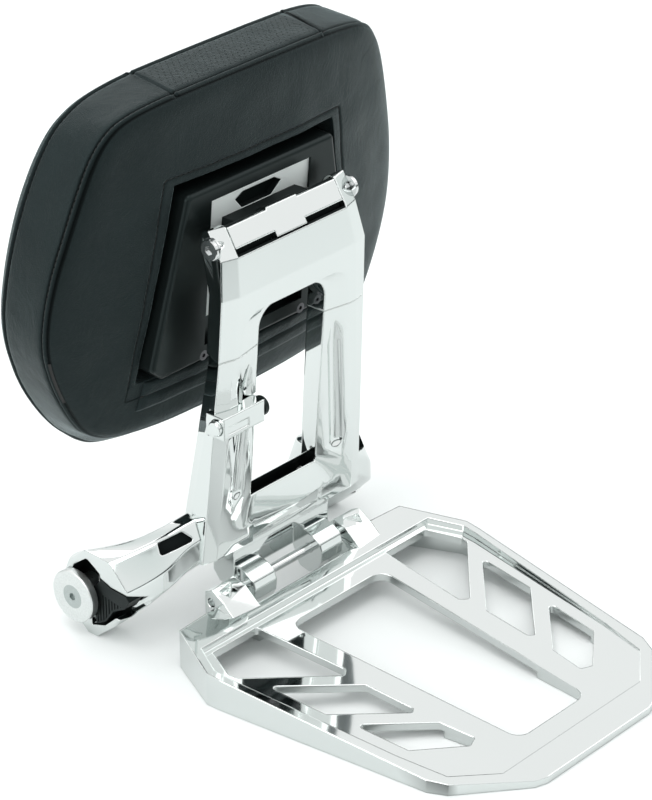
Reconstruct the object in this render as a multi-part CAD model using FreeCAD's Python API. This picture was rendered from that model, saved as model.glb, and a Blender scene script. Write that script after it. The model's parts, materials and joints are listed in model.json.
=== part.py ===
import FreeCAD, Part
import math
import os

from FreeCAD import Vector

# Detachable driver backrest with a folding rear rack, in millimetres.
# X is across the seat, +Y is forward and +Z is up, and it stands on its rack and arm ends.

# Sizes of the rack
RACK_SLOPE = 4.955
RIM_HEIGHT = 20.8
RIM_DEPTH_FRONT = 4.3
RIM_DEPTH_REAR = 0.6
PANEL_THICK = 5.0
SKIRT_WALL = 4.0
RACK_FRONT = 46.0
RACK_NOTCH_FRONT = 31.6
RACK_NOTCH_HALF = 42.0
RACK_REAR = -189.0
RACK_WIDEST = 115.0
RIM_FRONT_WIDTH = 9.0

# Sizes of the rack hinge
HINGE_Y = 48.5
HINGE_Z = 26.3
ROD_RADIUS = 3.0
ROD_HALF = 60.0
PIN_CLEARANCE = 0.05
EAR_IN = 44.0
EAR_OUT = 64.5
KNUCKLE_IN = 19.8
KNUCKLE_OUT = 38.4
BLOCK_HALF = 41.0
BLOCK_TOP = 52.0
BLOCK_REAR = 52.0
BLOCK_FRONT = 69.0
BLOCK_BOTTOM = 25.0
BLOCK_BOLT_X = 34.0
BLOCK_BOLT_RADIUS = 3.0
BLOCK_BOLT_HEAD = 5.0
BLOCK_BOLT_Y = 62.0
BLOCK_BOLT_SEAT = 34.0
BLOCK_BOLT_LENGTH = 28.0
BOLT_CLEARANCE = 0.1

# Sizes of the legs and their posts
LEAN = 4.1
SEAM_Z = 184.0
SEAM_GAP = 0.3
LEG_IN = 28.0
LEG_OUT_TOP = 61.3
LEG_OUT_BOTTOM = 68.0
LEG_REAR_TOP = 39.6
RIDGE_TOP = 51.6
RIDGE_BOTTOM = 58.5
FACET_DEPTH = 2.6
CROSSBAR_TOP = 88.0
WINDOW_FOOT = 82.0
WINDOW_DEPTH = 3.6
POCKET_HALF = 27.5
POCKET_DEPTH = 17.0
FLUTE_RADIUS = 7.0
FLUTE_TIP_RADIUS = 4.6
POST_X = 45.0
POST_Y = 49.8
POST_RADIUS = 5.0
POST_LENGTH = 96.0
POST_SOCKET = 22.0

# Sizes of the head and the tilt hinge
BEND_Y = 37.2
BEND_Z = 222.5
HEAD_Y = 41.2
HEAD_Z = 245.2
PIVOT_Y = 50.5
PIVOT_Z = 251.5
PIVOT_RADIUS = 3.2
BARREL_RADIUS = 9.0
BARREL_HALF = 44.4
HEAD_NOTCH_HALF = 45.0
HEAD_OUT = 56.0
HEAD_RELIEF = 11.5
HEAD_RADIUS = 9.6
LEAF_FLAT = 5.0
LEAF_FLAT_ANGLE = 30.9
SLOT_TOP = 249.4
TONGUE_HALF = 12.4
TONGUE_RADIUS = 10.1
ARCH_TOP = 207.0
ARCH_RADIUS = 13.0
BOLT_HEAD_RADIUS = 6.3
BOLT_HEAD_HEIGHT = 2.4
WASHER_THICK = 0.8

# Sizes of the pad
PAD_LEAN = 5.0
PAD_SEAM_Y = 70.0
PAD_SEAM_Z = 338.7
PAD_FRONT_Y = 106.8
PAD_FRONT_Z = 343.1
PAD_SWEEP = 14.0
PAD_SWEEP_POWER = 2.5
PAD_HALF = 142.0
PAD_REAR_CROWN = 7.0
PAD_FRONT_CROWN = 13.0
CUT_TOP_Z = 286.8
CUT_TOP_HALF = 65.0
CUT_LOW_Z = 166.5
CUT_LOW_HALF = 86.6
SOFT_GAP = 0.3
STRAP_THICK = 2.5

# Sizes of the housing and the slide plate
HOUSING_Y = 65.0
HOUSING_Z = 269.7
HOUSING_DEPTH = 22.0
HOUSING_EDGE = 3.0
HOUSING_SCREWS = [-41.0, 0.0, 41.0]
HOUSING_SCREW_Z = 171.3
SLIDE_HALF = 45.0
SLIDE_TOP = 270.0
SLIDE_LOW = 196.0
SLIDE_THICK = 4.0
SLIDE_TRAVEL = 20.0
SLIDE_LIP = 1.5
WINDOW_HALF = 41.0
SLIDE_GAP = 0.3
BOARD_THICK = 6.0

# Sizes of the arms, dock discs and levers
DISC_Y = 116.0
DISC_Z = 24.4
DISC_RADIUS = 16.6
DISC_FACE = 112.0
DISC_THICK = 5.5
NECK_RADIUS = 9.0
INSERT_RADIUS = 7.5
SOCKET_RADIUS = 2.6
HOOD_OUT = 106.0
HOOD_FLOOR = 94.0
HOOD_GAP = 1.0
DISC_BOLT_IN = 90.0
LEVER_IN = 94.0
LEVER_OUT = 105.0
LEVER_SWING_GAP = 1.6
LEVER_NECK_GAP = 2.4
LEVER_PIN_X = 99.5
LEVER_PIN_Y = 103.0
LEVER_PIN_RADIUS = 2.0
LEVER_PIN_LOW = 3.0
LEVER_PIN_LENGTH = 43.0
LEVER_SPRING_RADIUS = 3.4
LEVER_SPRING_LOW = 27.0
LEVER_SPRING_LENGTH = 6.0
DISC_BOLT_RADIUS = 4.0
ARM_BOLT_Y = 62.0
ARM_BOLT_Z = 68.0
ARM_BOLT_RADIUS = 3.0
ARM_BOLT_HEAD = 4.6
ARM_BOLT_IN = 52.0
ARM_BOLT_OUT = 68.0

# Sizes of the leg latch
LATCH_Z = 145.5
LATCH_Y = 41.3
LATCH_HEIGHT = 14.0
LATCH_REAR = 35.5
LATCH_FRONT = 44.6
LATCH_FLANK = 49.5
LATCH_FLANK_WIDTH = 8.5
LATCH_OUT = 64.8
LATCH_IN = 31.0
BUTTON_RADIUS = 4.6
BUTTON_PROUD = 2.5
BUTTON_HEAD = 4.0
BUTTON_TRAVEL = 2.0
BUTTON_ROD_RADIUS = 2.0
SPRING_RADIUS = 2.6
COLLAR_END = 5.0
SPRING_END = 18.0
CAP_RADIUS = 6.0

# Simple shapes


def polygon(points):
    """Closed wire through 3D points."""
    return Part.makePolygon(list(points) + [points[0]])


def rounded(points, radii):
    """Closed wire through points with each corner rounded by its radius."""
    edges = []
    starts = []
    ends = []
    count = len(points)
    for i in range(count):
        here = points[i]
        before = (points[i - 1] - here).normalize()
        after = (points[(i + 1) % count] - here).normalize()
        radius = radii[i]
        if radius <= 0:
            starts.append(here)
            ends.append(here)
            edges.append(None)
            continue
        half = before.getAngle(after) / 2
        reach = radius / math.tan(half)
        first = here + before * reach
        last = here + after * reach
        middle = (before + after).normalize()
        centre = here + middle * (radius / math.sin(half))
        top = centre - middle * radius
        starts.append(first)
        ends.append(last)
        edges.append(Part.Arc(first, top, last).toShape())
    joined = []
    for i in range(count):
        if edges[i] is not None:
            joined.append(edges[i])
        a = ends[i]
        b = starts[(i + 1) % count]
        if (b - a).Length > 1e-6:
            joined.append(Part.makeLine(a, b))
    return Part.Wire(joined)


def prism(wire, direction):
    """Solid swept from a flat wire."""
    return Part.Face(wire).extrude(direction)


def plan(points, low, high, radii=None):
    """Upright solid over an outline of (x, y) points."""
    flat = [Vector(x, y, low) for x, y in points]
    wire = rounded(flat, radii) if radii else polygon(flat)
    return prism(wire, Vector(0, 0, high - low))


def side(points, x_low, x_high, radii=None):
    """Solid over an outline of (y, z) points, between two X planes."""
    flat = [Vector(x_low, y, z) for y, z in points]
    wire = rounded(flat, radii) if radii else polygon(flat)
    return prism(wire, Vector(x_high - x_low, 0, 0))


def front(points, y_low, y_high, radii=None):
    """Solid over an outline of (x, z) points, between two Y planes."""
    flat = [Vector(x, y_low, z) for x, z in points]
    wire = rounded(flat, radii) if radii else polygon(flat)
    return prism(wire, Vector(0, y_high - y_low, 0))


def rod_x(y, z, radius, x_low, x_high):
    """Round bar along X."""
    return Part.makeCylinder(radius, x_high - x_low, Vector(x_low, y, z), Vector(1, 0, 0))


def mirrored(points):
    """Outline of a whole from its right half, which runs from front to rear."""
    return list(points) + [(-x, y) for x, y in reversed(points)]


def flip(shape):
    """The same shape on the other side of the middle plane."""
    return shape.mirror(Vector(0, 0, 0), Vector(1, 0, 0))


def both(shape):
    """A shape with its mirror image."""
    return [shape, flip(shape)]


# Rack


def rim_z(y):
    """Height of the sloping rim."""
    return RIM_HEIGHT + y * math.tan(math.radians(RACK_SLOPE))


def panel_z(y):
    """Height of the panel, which meets the rim at the rear."""
    y_front = RACK_NOTCH_FRONT - RIM_FRONT_WIDTH
    y_rear = RACK_REAR + 24.0
    share = (y_front - y) / (y_front - y_rear)
    return rim_z(y) - RIM_DEPTH_FRONT + share * (RIM_DEPTH_FRONT - RIM_DEPTH_REAR)


def rack_outline():
    """Plan of the rack, with horns at the front and cut corners at the rear."""
    half = [
        (RACK_NOTCH_HALF, RACK_NOTCH_FRONT),
        (RACK_NOTCH_HALF + 1.0, RACK_FRONT),
        (97.0, RACK_FRONT - 3.0),
        (RACK_WIDEST, 4.0),
        (RACK_WIDEST - 0.5, -6.0),
        (97.5, -145.0),
        (92.0, -156.0),
        (54.0, -186.5),
        (46.0, RACK_REAR),
    ]
    return mirrored(half)


RACK_OPENINGS = [
    [(57.0, 19.5), (94.0, 19.5), (103.0, -2.0), (101.8, -7.5), (56.1, -48.0), (51.0, -44.0)],
    [(93.6, -26.3), (94.5, -30.0), (91.2, -65.7), (55.1, -98.3), (51.5, -96.0), (53.7, -62.6)],
    [(84.5, -85.0), (86.5, -88.0), (83.0, -120.0), (55.0, -141.0), (47.5, -138.0), (50.7, -115.2)],
]
CENTRE_OPENING = [(41.0, 8.5), (30.0, -156.0)]


def make_rack():
    """Cast rack: rimmed panel with slanted slats, a hollow underside and two hinge ears."""
    outline = rack_outline()
    y_a = RACK_REAR - 5.0
    y_b = RACK_FRONT + 5.0
    body = plan(outline, 0.0, 40.0, [0.8] * len(outline))
    below_rim = side([(y_a, -1.0), (y_b, -1.0), (y_b, rim_z(y_b)), (y_a, rim_z(y_a))], -150.0, 150.0)
    body = body.common(below_rim)
    inner = mirrored([
        (52.0, RACK_NOTCH_FRONT - RIM_FRONT_WIDTH),
        (100.0, RACK_NOTCH_FRONT - RIM_FRONT_WIDTH),
        (109.5, 2.0),
        (109.0, -8.0),
        (93.0, -120.0),
        (86.5, -151.0),
        (62.0, -170.0),
    ])
    y_c = RACK_REAR + 10.0
    above_panel = side([(y_c, panel_z(y_c)), (y_b, panel_z(y_b)), (y_b, 60.0), (y_c, 60.0)], -150.0, 150.0)
    body = body.cut(plan(inner, -1.0, 50.0).common(above_panel))
    hollow_plan = mirrored([
        (46.0, RACK_NOTCH_FRONT - SKIRT_WALL),
        (47.0, RACK_FRONT - SKIRT_WALL - 0.5),
        (94.0, RACK_FRONT - SKIRT_WALL - 3.0),
        (RACK_WIDEST - SKIRT_WALL - 0.5, 3.0),
        (RACK_WIDEST - SKIRT_WALL - 1.0, -6.0),
        (96.0, -120.0),
    ])
    y_d = -118.0
    hollow = side([
        (y_d, -1.0),
        (y_b, -1.0),
        (y_b, panel_z(y_b) - PANEL_THICK),
        (y_d, panel_z(y_d) - PANEL_THICK),
    ], -150.0, 150.0)
    body = body.cut(plan(hollow_plan, -2.0, 50.0).common(hollow))
    for points in RACK_OPENINGS:
        hole = plan(points, -5.0, 60.0, [2.0, 2.0, 1.0, 1.5, 2.0, 2.0])
        for copy in both(hole):
            body = body.cut(copy)
    centre = plan(mirrored(CENTRE_OPENING), -5.0, 60.0, [9.0] * 4)
    body = body.cut(centre)
    for copy in both(make_ear()):
        body = body.fuse(copy)
    bore = rod_x(HINGE_Y, HINGE_Z, ROD_RADIUS + PIN_CLEARANCE, -EAR_OUT - 1.0, EAR_OUT + 1.0)
    body = body.cut(bore)
    return body.removeSplitter()


def make_ear():
    """Right hinge ear: a ridged boss about the hinge axis with a ramp and a three-sided pocket."""
    y = HINGE_Y
    z = HINGE_Z
    inner = [
        (y - 20.5, 12.0),
        (y - 20.5, rim_z(y - 20.5) - 0.4),
        (y - 8.2, z + 6.4),
        (y + 2.0, z + 8.8),
        (y + 4.8, z + 6.0),
        (y + 4.8, z - 8.6),
        (y + 1.0, 12.0),
    ]
    outer = [
        (y - 18.5, 12.0),
        (y - 18.5, rim_z(y - 18.5) - 0.4),
        (y - 11.0, z + 3.0),
        (y - 1.0, z + 9.0),
        (y + 4.8, z + 6.0),
        (y + 4.8, z - 8.6),
        (y + 1.0, 12.0),
    ]
    wires = []
    for x, points in ((EAR_IN, inner), (EAR_OUT, outer)):
        wires.append(polygon([Vector(x, py, pz) for py, pz in points]))
    ear = Part.makeLoft(wires, True, True)
    pocket = plan([
        (EAR_OUT - 3.2, y - 3.0),
        (EAR_OUT - 16.0, y - 1.0),
        (EAR_OUT - 6.2, y - 9.0),
    ], z + 4.5, z + 20.0, [0.6] * 3)
    return ear.cut(pocket)


# Rack hinge


def make_hinge_block():
    """Cast block under the crossbar with two knuckles and an arched recess between them."""
    body = side([
        (BLOCK_REAR, BLOCK_TOP),
        (BLOCK_FRONT, BLOCK_TOP),
        (BLOCK_FRONT, BLOCK_BOTTOM + 6.0),
        (BLOCK_FRONT - 5.0, BLOCK_BOTTOM),
        (BLOCK_REAR + 2.0, BLOCK_BOTTOM),
        (BLOCK_REAR, BLOCK_BOTTOM + 2.0),
    ], -BLOCK_HALF, BLOCK_HALF)
    knuckle = side([
        (BLOCK_REAR + 4.0, 38.5),
        (BLOCK_REAR, 38.0),
        (45.0, 35.8),
        (39.6, 32.6),
        (37.6, 27.0),
        (38.2, 20.0),
        (41.5, 14.0),
        (48.0, 10.0),
        (56.0, 12.0),
        (62.0, BLOCK_BOTTOM + 1.0),
    ], KNUCKLE_IN, KNUCKLE_OUT, [0, 0, 2.0, 2.5, 2.5, 2.5, 3.0, 3.0, 3.0, 0])
    for copy in both(knuckle):
        body = body.fuse(copy)
    arch = front([
        (-KNUCKLE_IN, BLOCK_BOTTOM - 1.0),
        (KNUCKLE_IN, BLOCK_BOTTOM - 1.0),
        (KNUCKLE_IN, 40.0),
        (10.0, 47.0),
        (-10.0, 47.0),
        (-KNUCKLE_IN, 40.0),
    ], BLOCK_REAR - 1.0, BLOCK_REAR + 9.0, [0, 0, 3.0, 6.0, 6.0, 3.0])
    body = body.cut(arch)
    bore = rod_x(HINGE_Y, HINGE_Z, ROD_RADIUS + PIN_CLEARANCE, -BLOCK_HALF, BLOCK_HALF)
    body = body.cut(bore)
    for x in (-BLOCK_BOLT_X, BLOCK_BOLT_X):
        body = body.cut(block_bolt_space(x))
    return body.removeSplitter()


def block_bolt_space(x):
    """Bore and head seat of a block bolt."""
    radius = BLOCK_BOLT_RADIUS + BOLT_CLEARANCE
    length = BLOCK_BOLT_LENGTH + 0.5
    bore = Part.makeCylinder(radius, length, Vector(x, BLOCK_BOLT_Y, BLOCK_BOLT_SEAT))
    depth = BLOCK_BOLT_SEAT
    seat = Part.makeCylinder(BLOCK_BOLT_HEAD + BOLT_CLEARANCE, depth, Vector(x, BLOCK_BOLT_Y, 0.0))
    return bore.fuse(seat)


def make_block_bolt():
    """Right socket screw that holds the hinge block up to the crossbar."""
    x = BLOCK_BOLT_X
    z = BLOCK_BOLT_SEAT
    shank = Part.makeCylinder(BLOCK_BOLT_RADIUS, BLOCK_BOLT_LENGTH, Vector(x, BLOCK_BOLT_Y, z))
    head = Part.makeCylinder(BLOCK_BOLT_HEAD, 6.0, Vector(x, BLOCK_BOLT_Y, z - 6.0))
    socket = hexagon(Vector(x, BLOCK_BOLT_Y, z - 6.5), Vector(0, 0, 1), 2.9, 3.5)
    return shank.fuse(head).cut(socket).removeSplitter()


def hexagon(base, axis, radius, depth):
    """Hexagonal prism from a base point along an axis."""
    spin = FreeCAD.Rotation(Vector(0, 0, 1), axis)
    points = []
    for i in range(6):
        angle = math.radians(60.0 * i)
        points.append(base + spin.multVec(Vector(radius * math.cos(angle), radius * math.sin(angle), 0)))
    return prism(polygon(points), spin.multVec(Vector(0, 0, depth)))


def make_hinge_rod():
    """Steel rod that the rack folds about."""
    rod = rod_x(HINGE_Y, HINGE_Z, ROD_RADIUS, -ROD_HALF, ROD_HALF)
    return rod.makeChamfer(0.5, rod.Edges[:1] + rod.Edges[2:3])


# Lower frame


def lean_y(y_top, z, z_top=SEAM_Z):
    """Where a leaning line that passes y_top at z_top lies at height z."""
    return y_top + (z_top - z) * math.tan(math.radians(LEAN))


def leg_section(z):
    """Right leg's outline at one height, between the foot and the seam."""
    share = (SEAM_Z - z) / (SEAM_Z - BLOCK_TOP)
    rear = lean_y(LEG_REAR_TOP, z)
    out = LEG_OUT_TOP + share * (LEG_OUT_BOTTOM - LEG_OUT_TOP)
    ridge = RIDGE_TOP + share * (RIDGE_BOTTOM - RIDGE_TOP)
    flank = FACET_DEPTH + 3.4 + share * 12.0
    depth = 17.0 + share * 7.0
    return [
        Vector(LEG_IN, rear, z),
        Vector(ridge, rear, z),
        Vector(out, rear + FACET_DEPTH, z),
        Vector(out - 2.5 * (1.0 - share), rear + flank, z),
        Vector(out - 8.0 + share * 5.0, rear + depth, z),
        Vector(LEG_IN, rear + depth, z),
    ]


def window_ring(offset, half_top, half_low, top, low, radius):
    """Rounded loop round the window, on a plane parallel to the legs' rear faces."""
    points = []
    for x, z in [(half_low, low), (half_top, top), (-half_top, top), (-half_low, low)]:
        points.append(Vector(x, lean_y(LEG_REAR_TOP + offset, z), z))
    return rounded(points, [radius, radius, radius, radius])


def make_window():
    """Space of the window between the legs, with its bevelled edge on the rear face."""
    outer = window_ring(-0.6, 47.3, 52.5, 209.8, 61.0, 15.0)
    inner = window_ring(WINDOW_DEPTH, LEG_IN, LEG_IN, ARCH_TOP, WINDOW_FOOT, ARCH_RADIUS - 7.0)
    bevel = Part.makeLoft([outer, inner], True, True)
    through = front([
        (-LEG_IN, CROSSBAR_TOP),
        (LEG_IN, CROSSBAR_TOP),
        (LEG_IN, ARCH_TOP),
        (-LEG_IN, ARCH_TOP),
    ], 20.0, 100.0, [0, 0, ARCH_RADIUS, ARCH_RADIUS])
    return bevel.fuse(through)


def make_flute():
    """Long hollow along the inner facet of the right leg, pointed at its top."""
    low = Vector(42.2, lean_y(LEG_REAR_TOP - 3.6, 92.0), 92.0)
    high = Vector(35.9, lean_y(LEG_REAR_TOP - 2.9, 160.0), 160.0)
    axis = high - low
    length = axis.Length
    axis.normalize()
    body = Part.makeCylinder(FLUTE_RADIUS, length, low, axis)
    tip = Part.makeCone(FLUTE_RADIUS, FLUTE_TIP_RADIUS, 19.0, high, axis)
    return body.fuse([tip, Part.makeSphere(FLUTE_RADIUS, low)])


def post_point(z):
    """Centre of the right post at one height."""
    return Vector(POST_X, lean_y(POST_Y, z), z)


def post_axis():
    """Direction in which the upper frame rises."""
    return (post_point(SEAM_Z + 100.0) - post_point(SEAM_Z)).normalize()


def make_leg():
    """Right lower leg, hollow for its post."""
    low = polygon(leg_section(BLOCK_TOP))
    high = polygon(leg_section(SEAM_Z))
    leg = Part.makeLoft([low, high], True, True)
    bore_depth = POST_LENGTH + 6.0
    start = post_point(SEAM_Z) + post_axis() * 5.0
    bore = Part.makeCylinder(POST_RADIUS + PIN_CLEARANCE, bore_depth + 5.0, start, post_axis() * -1.0)
    return leg.cut(bore)


def make_lower_frame():
    """U-shaped casting: two hollow legs on a crossbar with a pocket in its sloped top."""
    rear_low = lean_y(LEG_REAR_TOP, BLOCK_TOP)
    rear_top = lean_y(LEG_REAR_TOP, CROSSBAR_TOP)
    foot_y = lean_y(LEG_REAR_TOP + WINDOW_DEPTH, WINDOW_FOOT)
    slope = CROSSBAR_TOP - WINDOW_FOOT
    bar = side([
        (rear_low + 1.2, BLOCK_TOP),
        (rear_low + 24.0, BLOCK_TOP),
        (rear_top + 22.0, CROSSBAR_TOP),
        (foot_y + slope, CROSSBAR_TOP),
        (foot_y, WINDOW_FOOT),
        (lean_y(LEG_REAR_TOP, WINDOW_FOOT), WINDOW_FOOT),
        (rear_low - 0.3, BLOCK_TOP + 4.3),
        (rear_low + 1.2, BLOCK_TOP + 3.7),
    ], -LEG_IN - 8.0, LEG_IN + 8.0)
    body = bar
    for copy in both(make_leg()):
        body = body.fuse(copy)
    body = body.cut(make_window())
    pocket = polygon([
        Vector(-POCKET_HALF, foot_y + 0.5, WINDOW_FOOT + 0.5),
        Vector(POCKET_HALF, foot_y + 0.5, WINDOW_FOOT + 0.5),
        Vector(POCKET_HALF + 2.2, foot_y + slope / 2, WINDOW_FOOT + slope / 2),
        Vector(POCKET_HALF, foot_y + slope - 0.5, CROSSBAR_TOP - 0.5),
        Vector(-POCKET_HALF, foot_y + slope - 0.5, CROSSBAR_TOP - 0.5),
        Vector(-POCKET_HALF - 2.2, foot_y + slope / 2, WINDOW_FOOT + slope / 2),
    ])
    pocket.translate(Vector(0, -2.0, 2.0))
    inward = (POCKET_DEPTH + 2.8) * math.sqrt(0.5)
    body = body.cut(prism(pocket, Vector(0, inward, -inward)))
    for x in (-BLOCK_BOLT_X, BLOCK_BOLT_X):
        body = body.cut(block_bolt_space(x))
    for copy in both(arm_bolt_space()):
        body = body.cut(copy)
    body = body.cut(latch_envelope())
    cap_room = Part.makeBox(
        LATCH_IN - LEG_IN + 1.0,
        LATCH_Y + CAP_RADIUS + 0.6 - LATCH_REAR,
        LATCH_HEIGHT,
        Vector(-LATCH_IN, LATCH_REAR, LATCH_Z - LATCH_HEIGHT / 2),
    )
    body = body.cut(cap_room)
    for copy in both(make_flute()):
        body = body.cut(copy)
    return body


# Leg latch, on the left leg


def latch_envelope():
    """Space of the latch housing, round the rear and outer side of the left leg."""
    low = LATCH_Z - LATCH_HEIGHT / 2
    bar = Part.makeBox(
        LATCH_OUT - LATCH_IN,
        LATCH_FRONT - LATCH_REAR,
        LATCH_HEIGHT,
        Vector(-LATCH_OUT, LATCH_REAR, low),
    )
    flank = Part.makeBox(
        LATCH_FLANK_WIDTH,
        LATCH_FLANK - LATCH_REAR,
        LATCH_HEIGHT,
        Vector(-LATCH_OUT, LATCH_REAR, low),
    )
    return bar.fuse(flank).removeSplitter()


def button_axis(radius, low, high):
    """Round bar on the button's axis, between two distances from the housing's outer face."""
    return rod_x(LATCH_Y, LATCH_Z, radius, -LATCH_OUT + low, -LATCH_OUT + high)


def make_latch_housing():
    """Latch housing, bored for the button and its spring, with a slot along its rear face."""
    body = latch_envelope()
    edges = [e for e in body.Edges if abs(e.CenterOfMass.y - LATCH_REAR) < 0.1]
    body = body.makeFillet(0.8, edges)
    well = button_axis(BUTTON_RADIUS + 0.4, -1.0, BUTTON_HEAD - BUTTON_PROUD + BUTTON_TRAVEL + 0.4)
    body = body.cut(well)
    body = body.cut(button_axis(SPRING_RADIUS + 0.2, 0.0, SPRING_END))
    body = body.cut(button_axis(BUTTON_ROD_RADIUS + PIN_CLEARANCE, 0.0, LATCH_OUT))
    slot = Part.makeBox(17.0, 0.9, 5.0, Vector(-LATCH_OUT + 4.0, LATCH_REAR - 0.1, LATCH_Z - 4.5))
    return body.cut(slot)


def make_latch_button():
    """Push button in its well, and its rod, which reaches through to the inner cap."""
    head = button_axis(BUTTON_RADIUS, -BUTTON_PROUD, BUTTON_HEAD - BUTTON_PROUD)
    head = head.makeChamfer(0.6, [e for e in head.Edges if abs(e.CenterOfMass.x - head.BoundBox.XMin) < 0.1])
    collar = button_axis(SPRING_RADIUS, 0.0, COLLAR_END)
    rod = button_axis(BUTTON_ROD_RADIUS, 0.0, LATCH_OUT - LATCH_IN + 2.0)
    return head.fuse([collar, rod]).removeSplitter()


def make_latch_spring():
    """Return spring of the button, as its sleeve."""
    low = COLLAR_END + BUTTON_TRAVEL + 0.1
    high = SPRING_END - 0.1
    return button_axis(SPRING_RADIUS, low, high).cut(button_axis(BUTTON_ROD_RADIUS + 0.2, low, high))


def make_latch_cap():
    """Black cap on the inner end of the button rod."""
    low = LATCH_OUT - LATCH_IN + 0.6
    cap = button_axis(CAP_RADIUS, low, low + 4.0)
    cap = cap.makeFillet(1.5, [e for e in cap.Edges if abs(e.CenterOfMass.x - cap.BoundBox.XMax) < 0.1])
    return cap.cut(button_axis(BUTTON_ROD_RADIUS, 0.0, LATCH_OUT - LATCH_IN + 2.0))


# Upper frame


def head_section(z, rear, ridge, out, facet, flank, front_half):
    """Outline of the head at one height, with an outer facet on either side."""
    half = [
        (ridge, rear),
        (out, rear + facet),
        (out - 1.5, rear + flank),
        (front_half, 70.0),
    ]
    flat = [Vector(x, y, z) for x, y in half] + [Vector(-x, y, z) for x, y in reversed(half)]
    return polygon(flat)


def make_upper_frame():
    """Inverted U casting: leg tops, arched head and two pivot ears round a notch."""
    z_low = SEAM_Z + SEAM_GAP
    rear_low = lean_y(LEG_REAR_TOP, z_low)
    top = PIVOT_Z + 12.0
    body = Part.makeLoft([
        head_section(z_low, rear_low, RIDGE_TOP, LEG_OUT_TOP, FACET_DEPTH, 7.0, 51.0),
        head_section(BEND_Z, BEND_Y, 48.5, 60.0, 3.2, 9.0, 52.0),
        head_section(HEAD_Z, HEAD_Y, 45.6, HEAD_OUT, 3.0, 12.0, HEAD_OUT),
        head_section(top, HEAD_Y + (top - HEAD_Z) * 0.6, 43.8, HEAD_OUT, 3.0, 12.0, HEAD_OUT),
    ], True, True)
    profile = side([
        (rear_low, z_low),
        (rear_low + 17.0, z_low),
        (BEND_Y + 16.0, BEND_Z),
        (PIVOT_Y + HEAD_RADIUS, PIVOT_Z - 4.0),
        (PIVOT_Y + HEAD_RADIUS, PIVOT_Z + HEAD_RADIUS),
        (HEAD_Y + (HEAD_RADIUS + PIVOT_Z - HEAD_Z) * 0.6, PIVOT_Z + HEAD_RADIUS),
        (HEAD_Y, HEAD_Z),
        (BEND_Y, BEND_Z),
    ], -80.0, 80.0, [0, 0, 0, 3.0, 7.0, 3.0, 0, 0])
    body = body.common(profile)
    body = body.cut(make_window())
    notch = Part.makeBox(2 * HEAD_NOTCH_HALF, 60.0, 30.0, Vector(-HEAD_NOTCH_HALF, 20.0, HEAD_Z))
    body = body.cut(notch)
    relief = Part.makeBox(
        2 * HEAD_NOTCH_HALF,
        40.0,
        30.0,
        Vector(-HEAD_NOTCH_HALF, PIVOT_Y + 5.0, PIVOT_Z - HEAD_RELIEF),
    )
    body = body.cut(relief)
    saddle = rod_x(PIVOT_Y, PIVOT_Z, BARREL_RADIUS + SLIDE_GAP, -HEAD_NOTCH_HALF, HEAD_NOTCH_HALF)
    tongue_room = rod_x(PIVOT_Y, PIVOT_Z, TONGUE_RADIUS + 0.4, -TONGUE_HALF - 0.5, TONGUE_HALF + 0.5)
    body = body.cut(saddle).cut(tongue_room)
    bore = rod_x(PIVOT_Y, PIVOT_Z, PIVOT_RADIUS + PIN_CLEARANCE, -80.0, 80.0)
    body = body.cut(bore)
    for copy in both(post_hole()):
        body = body.cut(copy)
    return body.removeSplitter()


def post_hole():
    """Socket of the right post in the upper frame, a light press fit."""
    base = post_point(SEAM_Z) - post_axis() * 3.0
    return Part.makeCylinder(POST_RADIUS, POST_SOCKET + 3.0, base, post_axis())


def make_post():
    """Right post: pressed into the upper frame, sliding in the lower leg."""
    base = post_point(SEAM_Z) + post_axis() * POST_SOCKET
    return Part.makeCylinder(POST_RADIUS, POST_SOCKET + POST_LENGTH, base, post_axis() * -1.0)


# Tilt hinge


def make_barrel():
    """Hinge barrel between the ears, flat behind, with a tongue and a neck to the slide plate."""
    barrel = rod_x(PIVOT_Y, PIVOT_Z, BARREL_RADIUS, -BARREL_HALF, BARREL_HALF)
    under = side([
        (PIVOT_Y - 20.0, PIVOT_Z - 20.0),
        (PIVOT_Y - 1.0, PIVOT_Z - 20.0),
        (PIVOT_Y - 4.6, SLOT_TOP - 1.6),
        (PIVOT_Y - 5.6, SLOT_TOP),
        (PIVOT_Y - 20.0, SLOT_TOP),
    ], -80.0, 80.0)
    barrel = barrel.cut(under)
    tongue = rod_x(PIVOT_Y, PIVOT_Z, TONGUE_RADIUS, -TONGUE_HALF, TONGUE_HALF)
    neck = side([
        (PIVOT_Y, PIVOT_Z - 6.0),
        (PIVOT_Y, PIVOT_Z + 6.0),
        (slide_y(PIVOT_Z + 5.0), PIVOT_Z + 5.0),
        (slide_y(PIVOT_Z - 9.0), PIVOT_Z - 9.0),
    ], -30.0, 30.0)
    body = barrel.fuse([tongue, neck])
    angle = math.radians(LEAF_FLAT_ANGLE)
    behind = Part.makeBox(200.0, 20.0, 60.0, Vector(-100.0, -LEAF_FLAT - 20.0, -30.0))
    behind.rotate(Vector(0, 0, 0), Vector(1, 0, 0), -math.degrees(angle))
    behind.translate(Vector(0, PIVOT_Y, PIVOT_Z))
    body = body.cut(behind)
    bore = rod_x(PIVOT_Y, PIVOT_Z, PIVOT_RADIUS, -80.0, 80.0)
    return body.cut(bore).removeSplitter()


def make_axle():
    """Axle through the head and the barrel."""
    return rod_x(PIVOT_Y, PIVOT_Z, PIVOT_RADIUS, -HEAD_OUT + 1.0, HEAD_OUT - 1.0)


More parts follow.
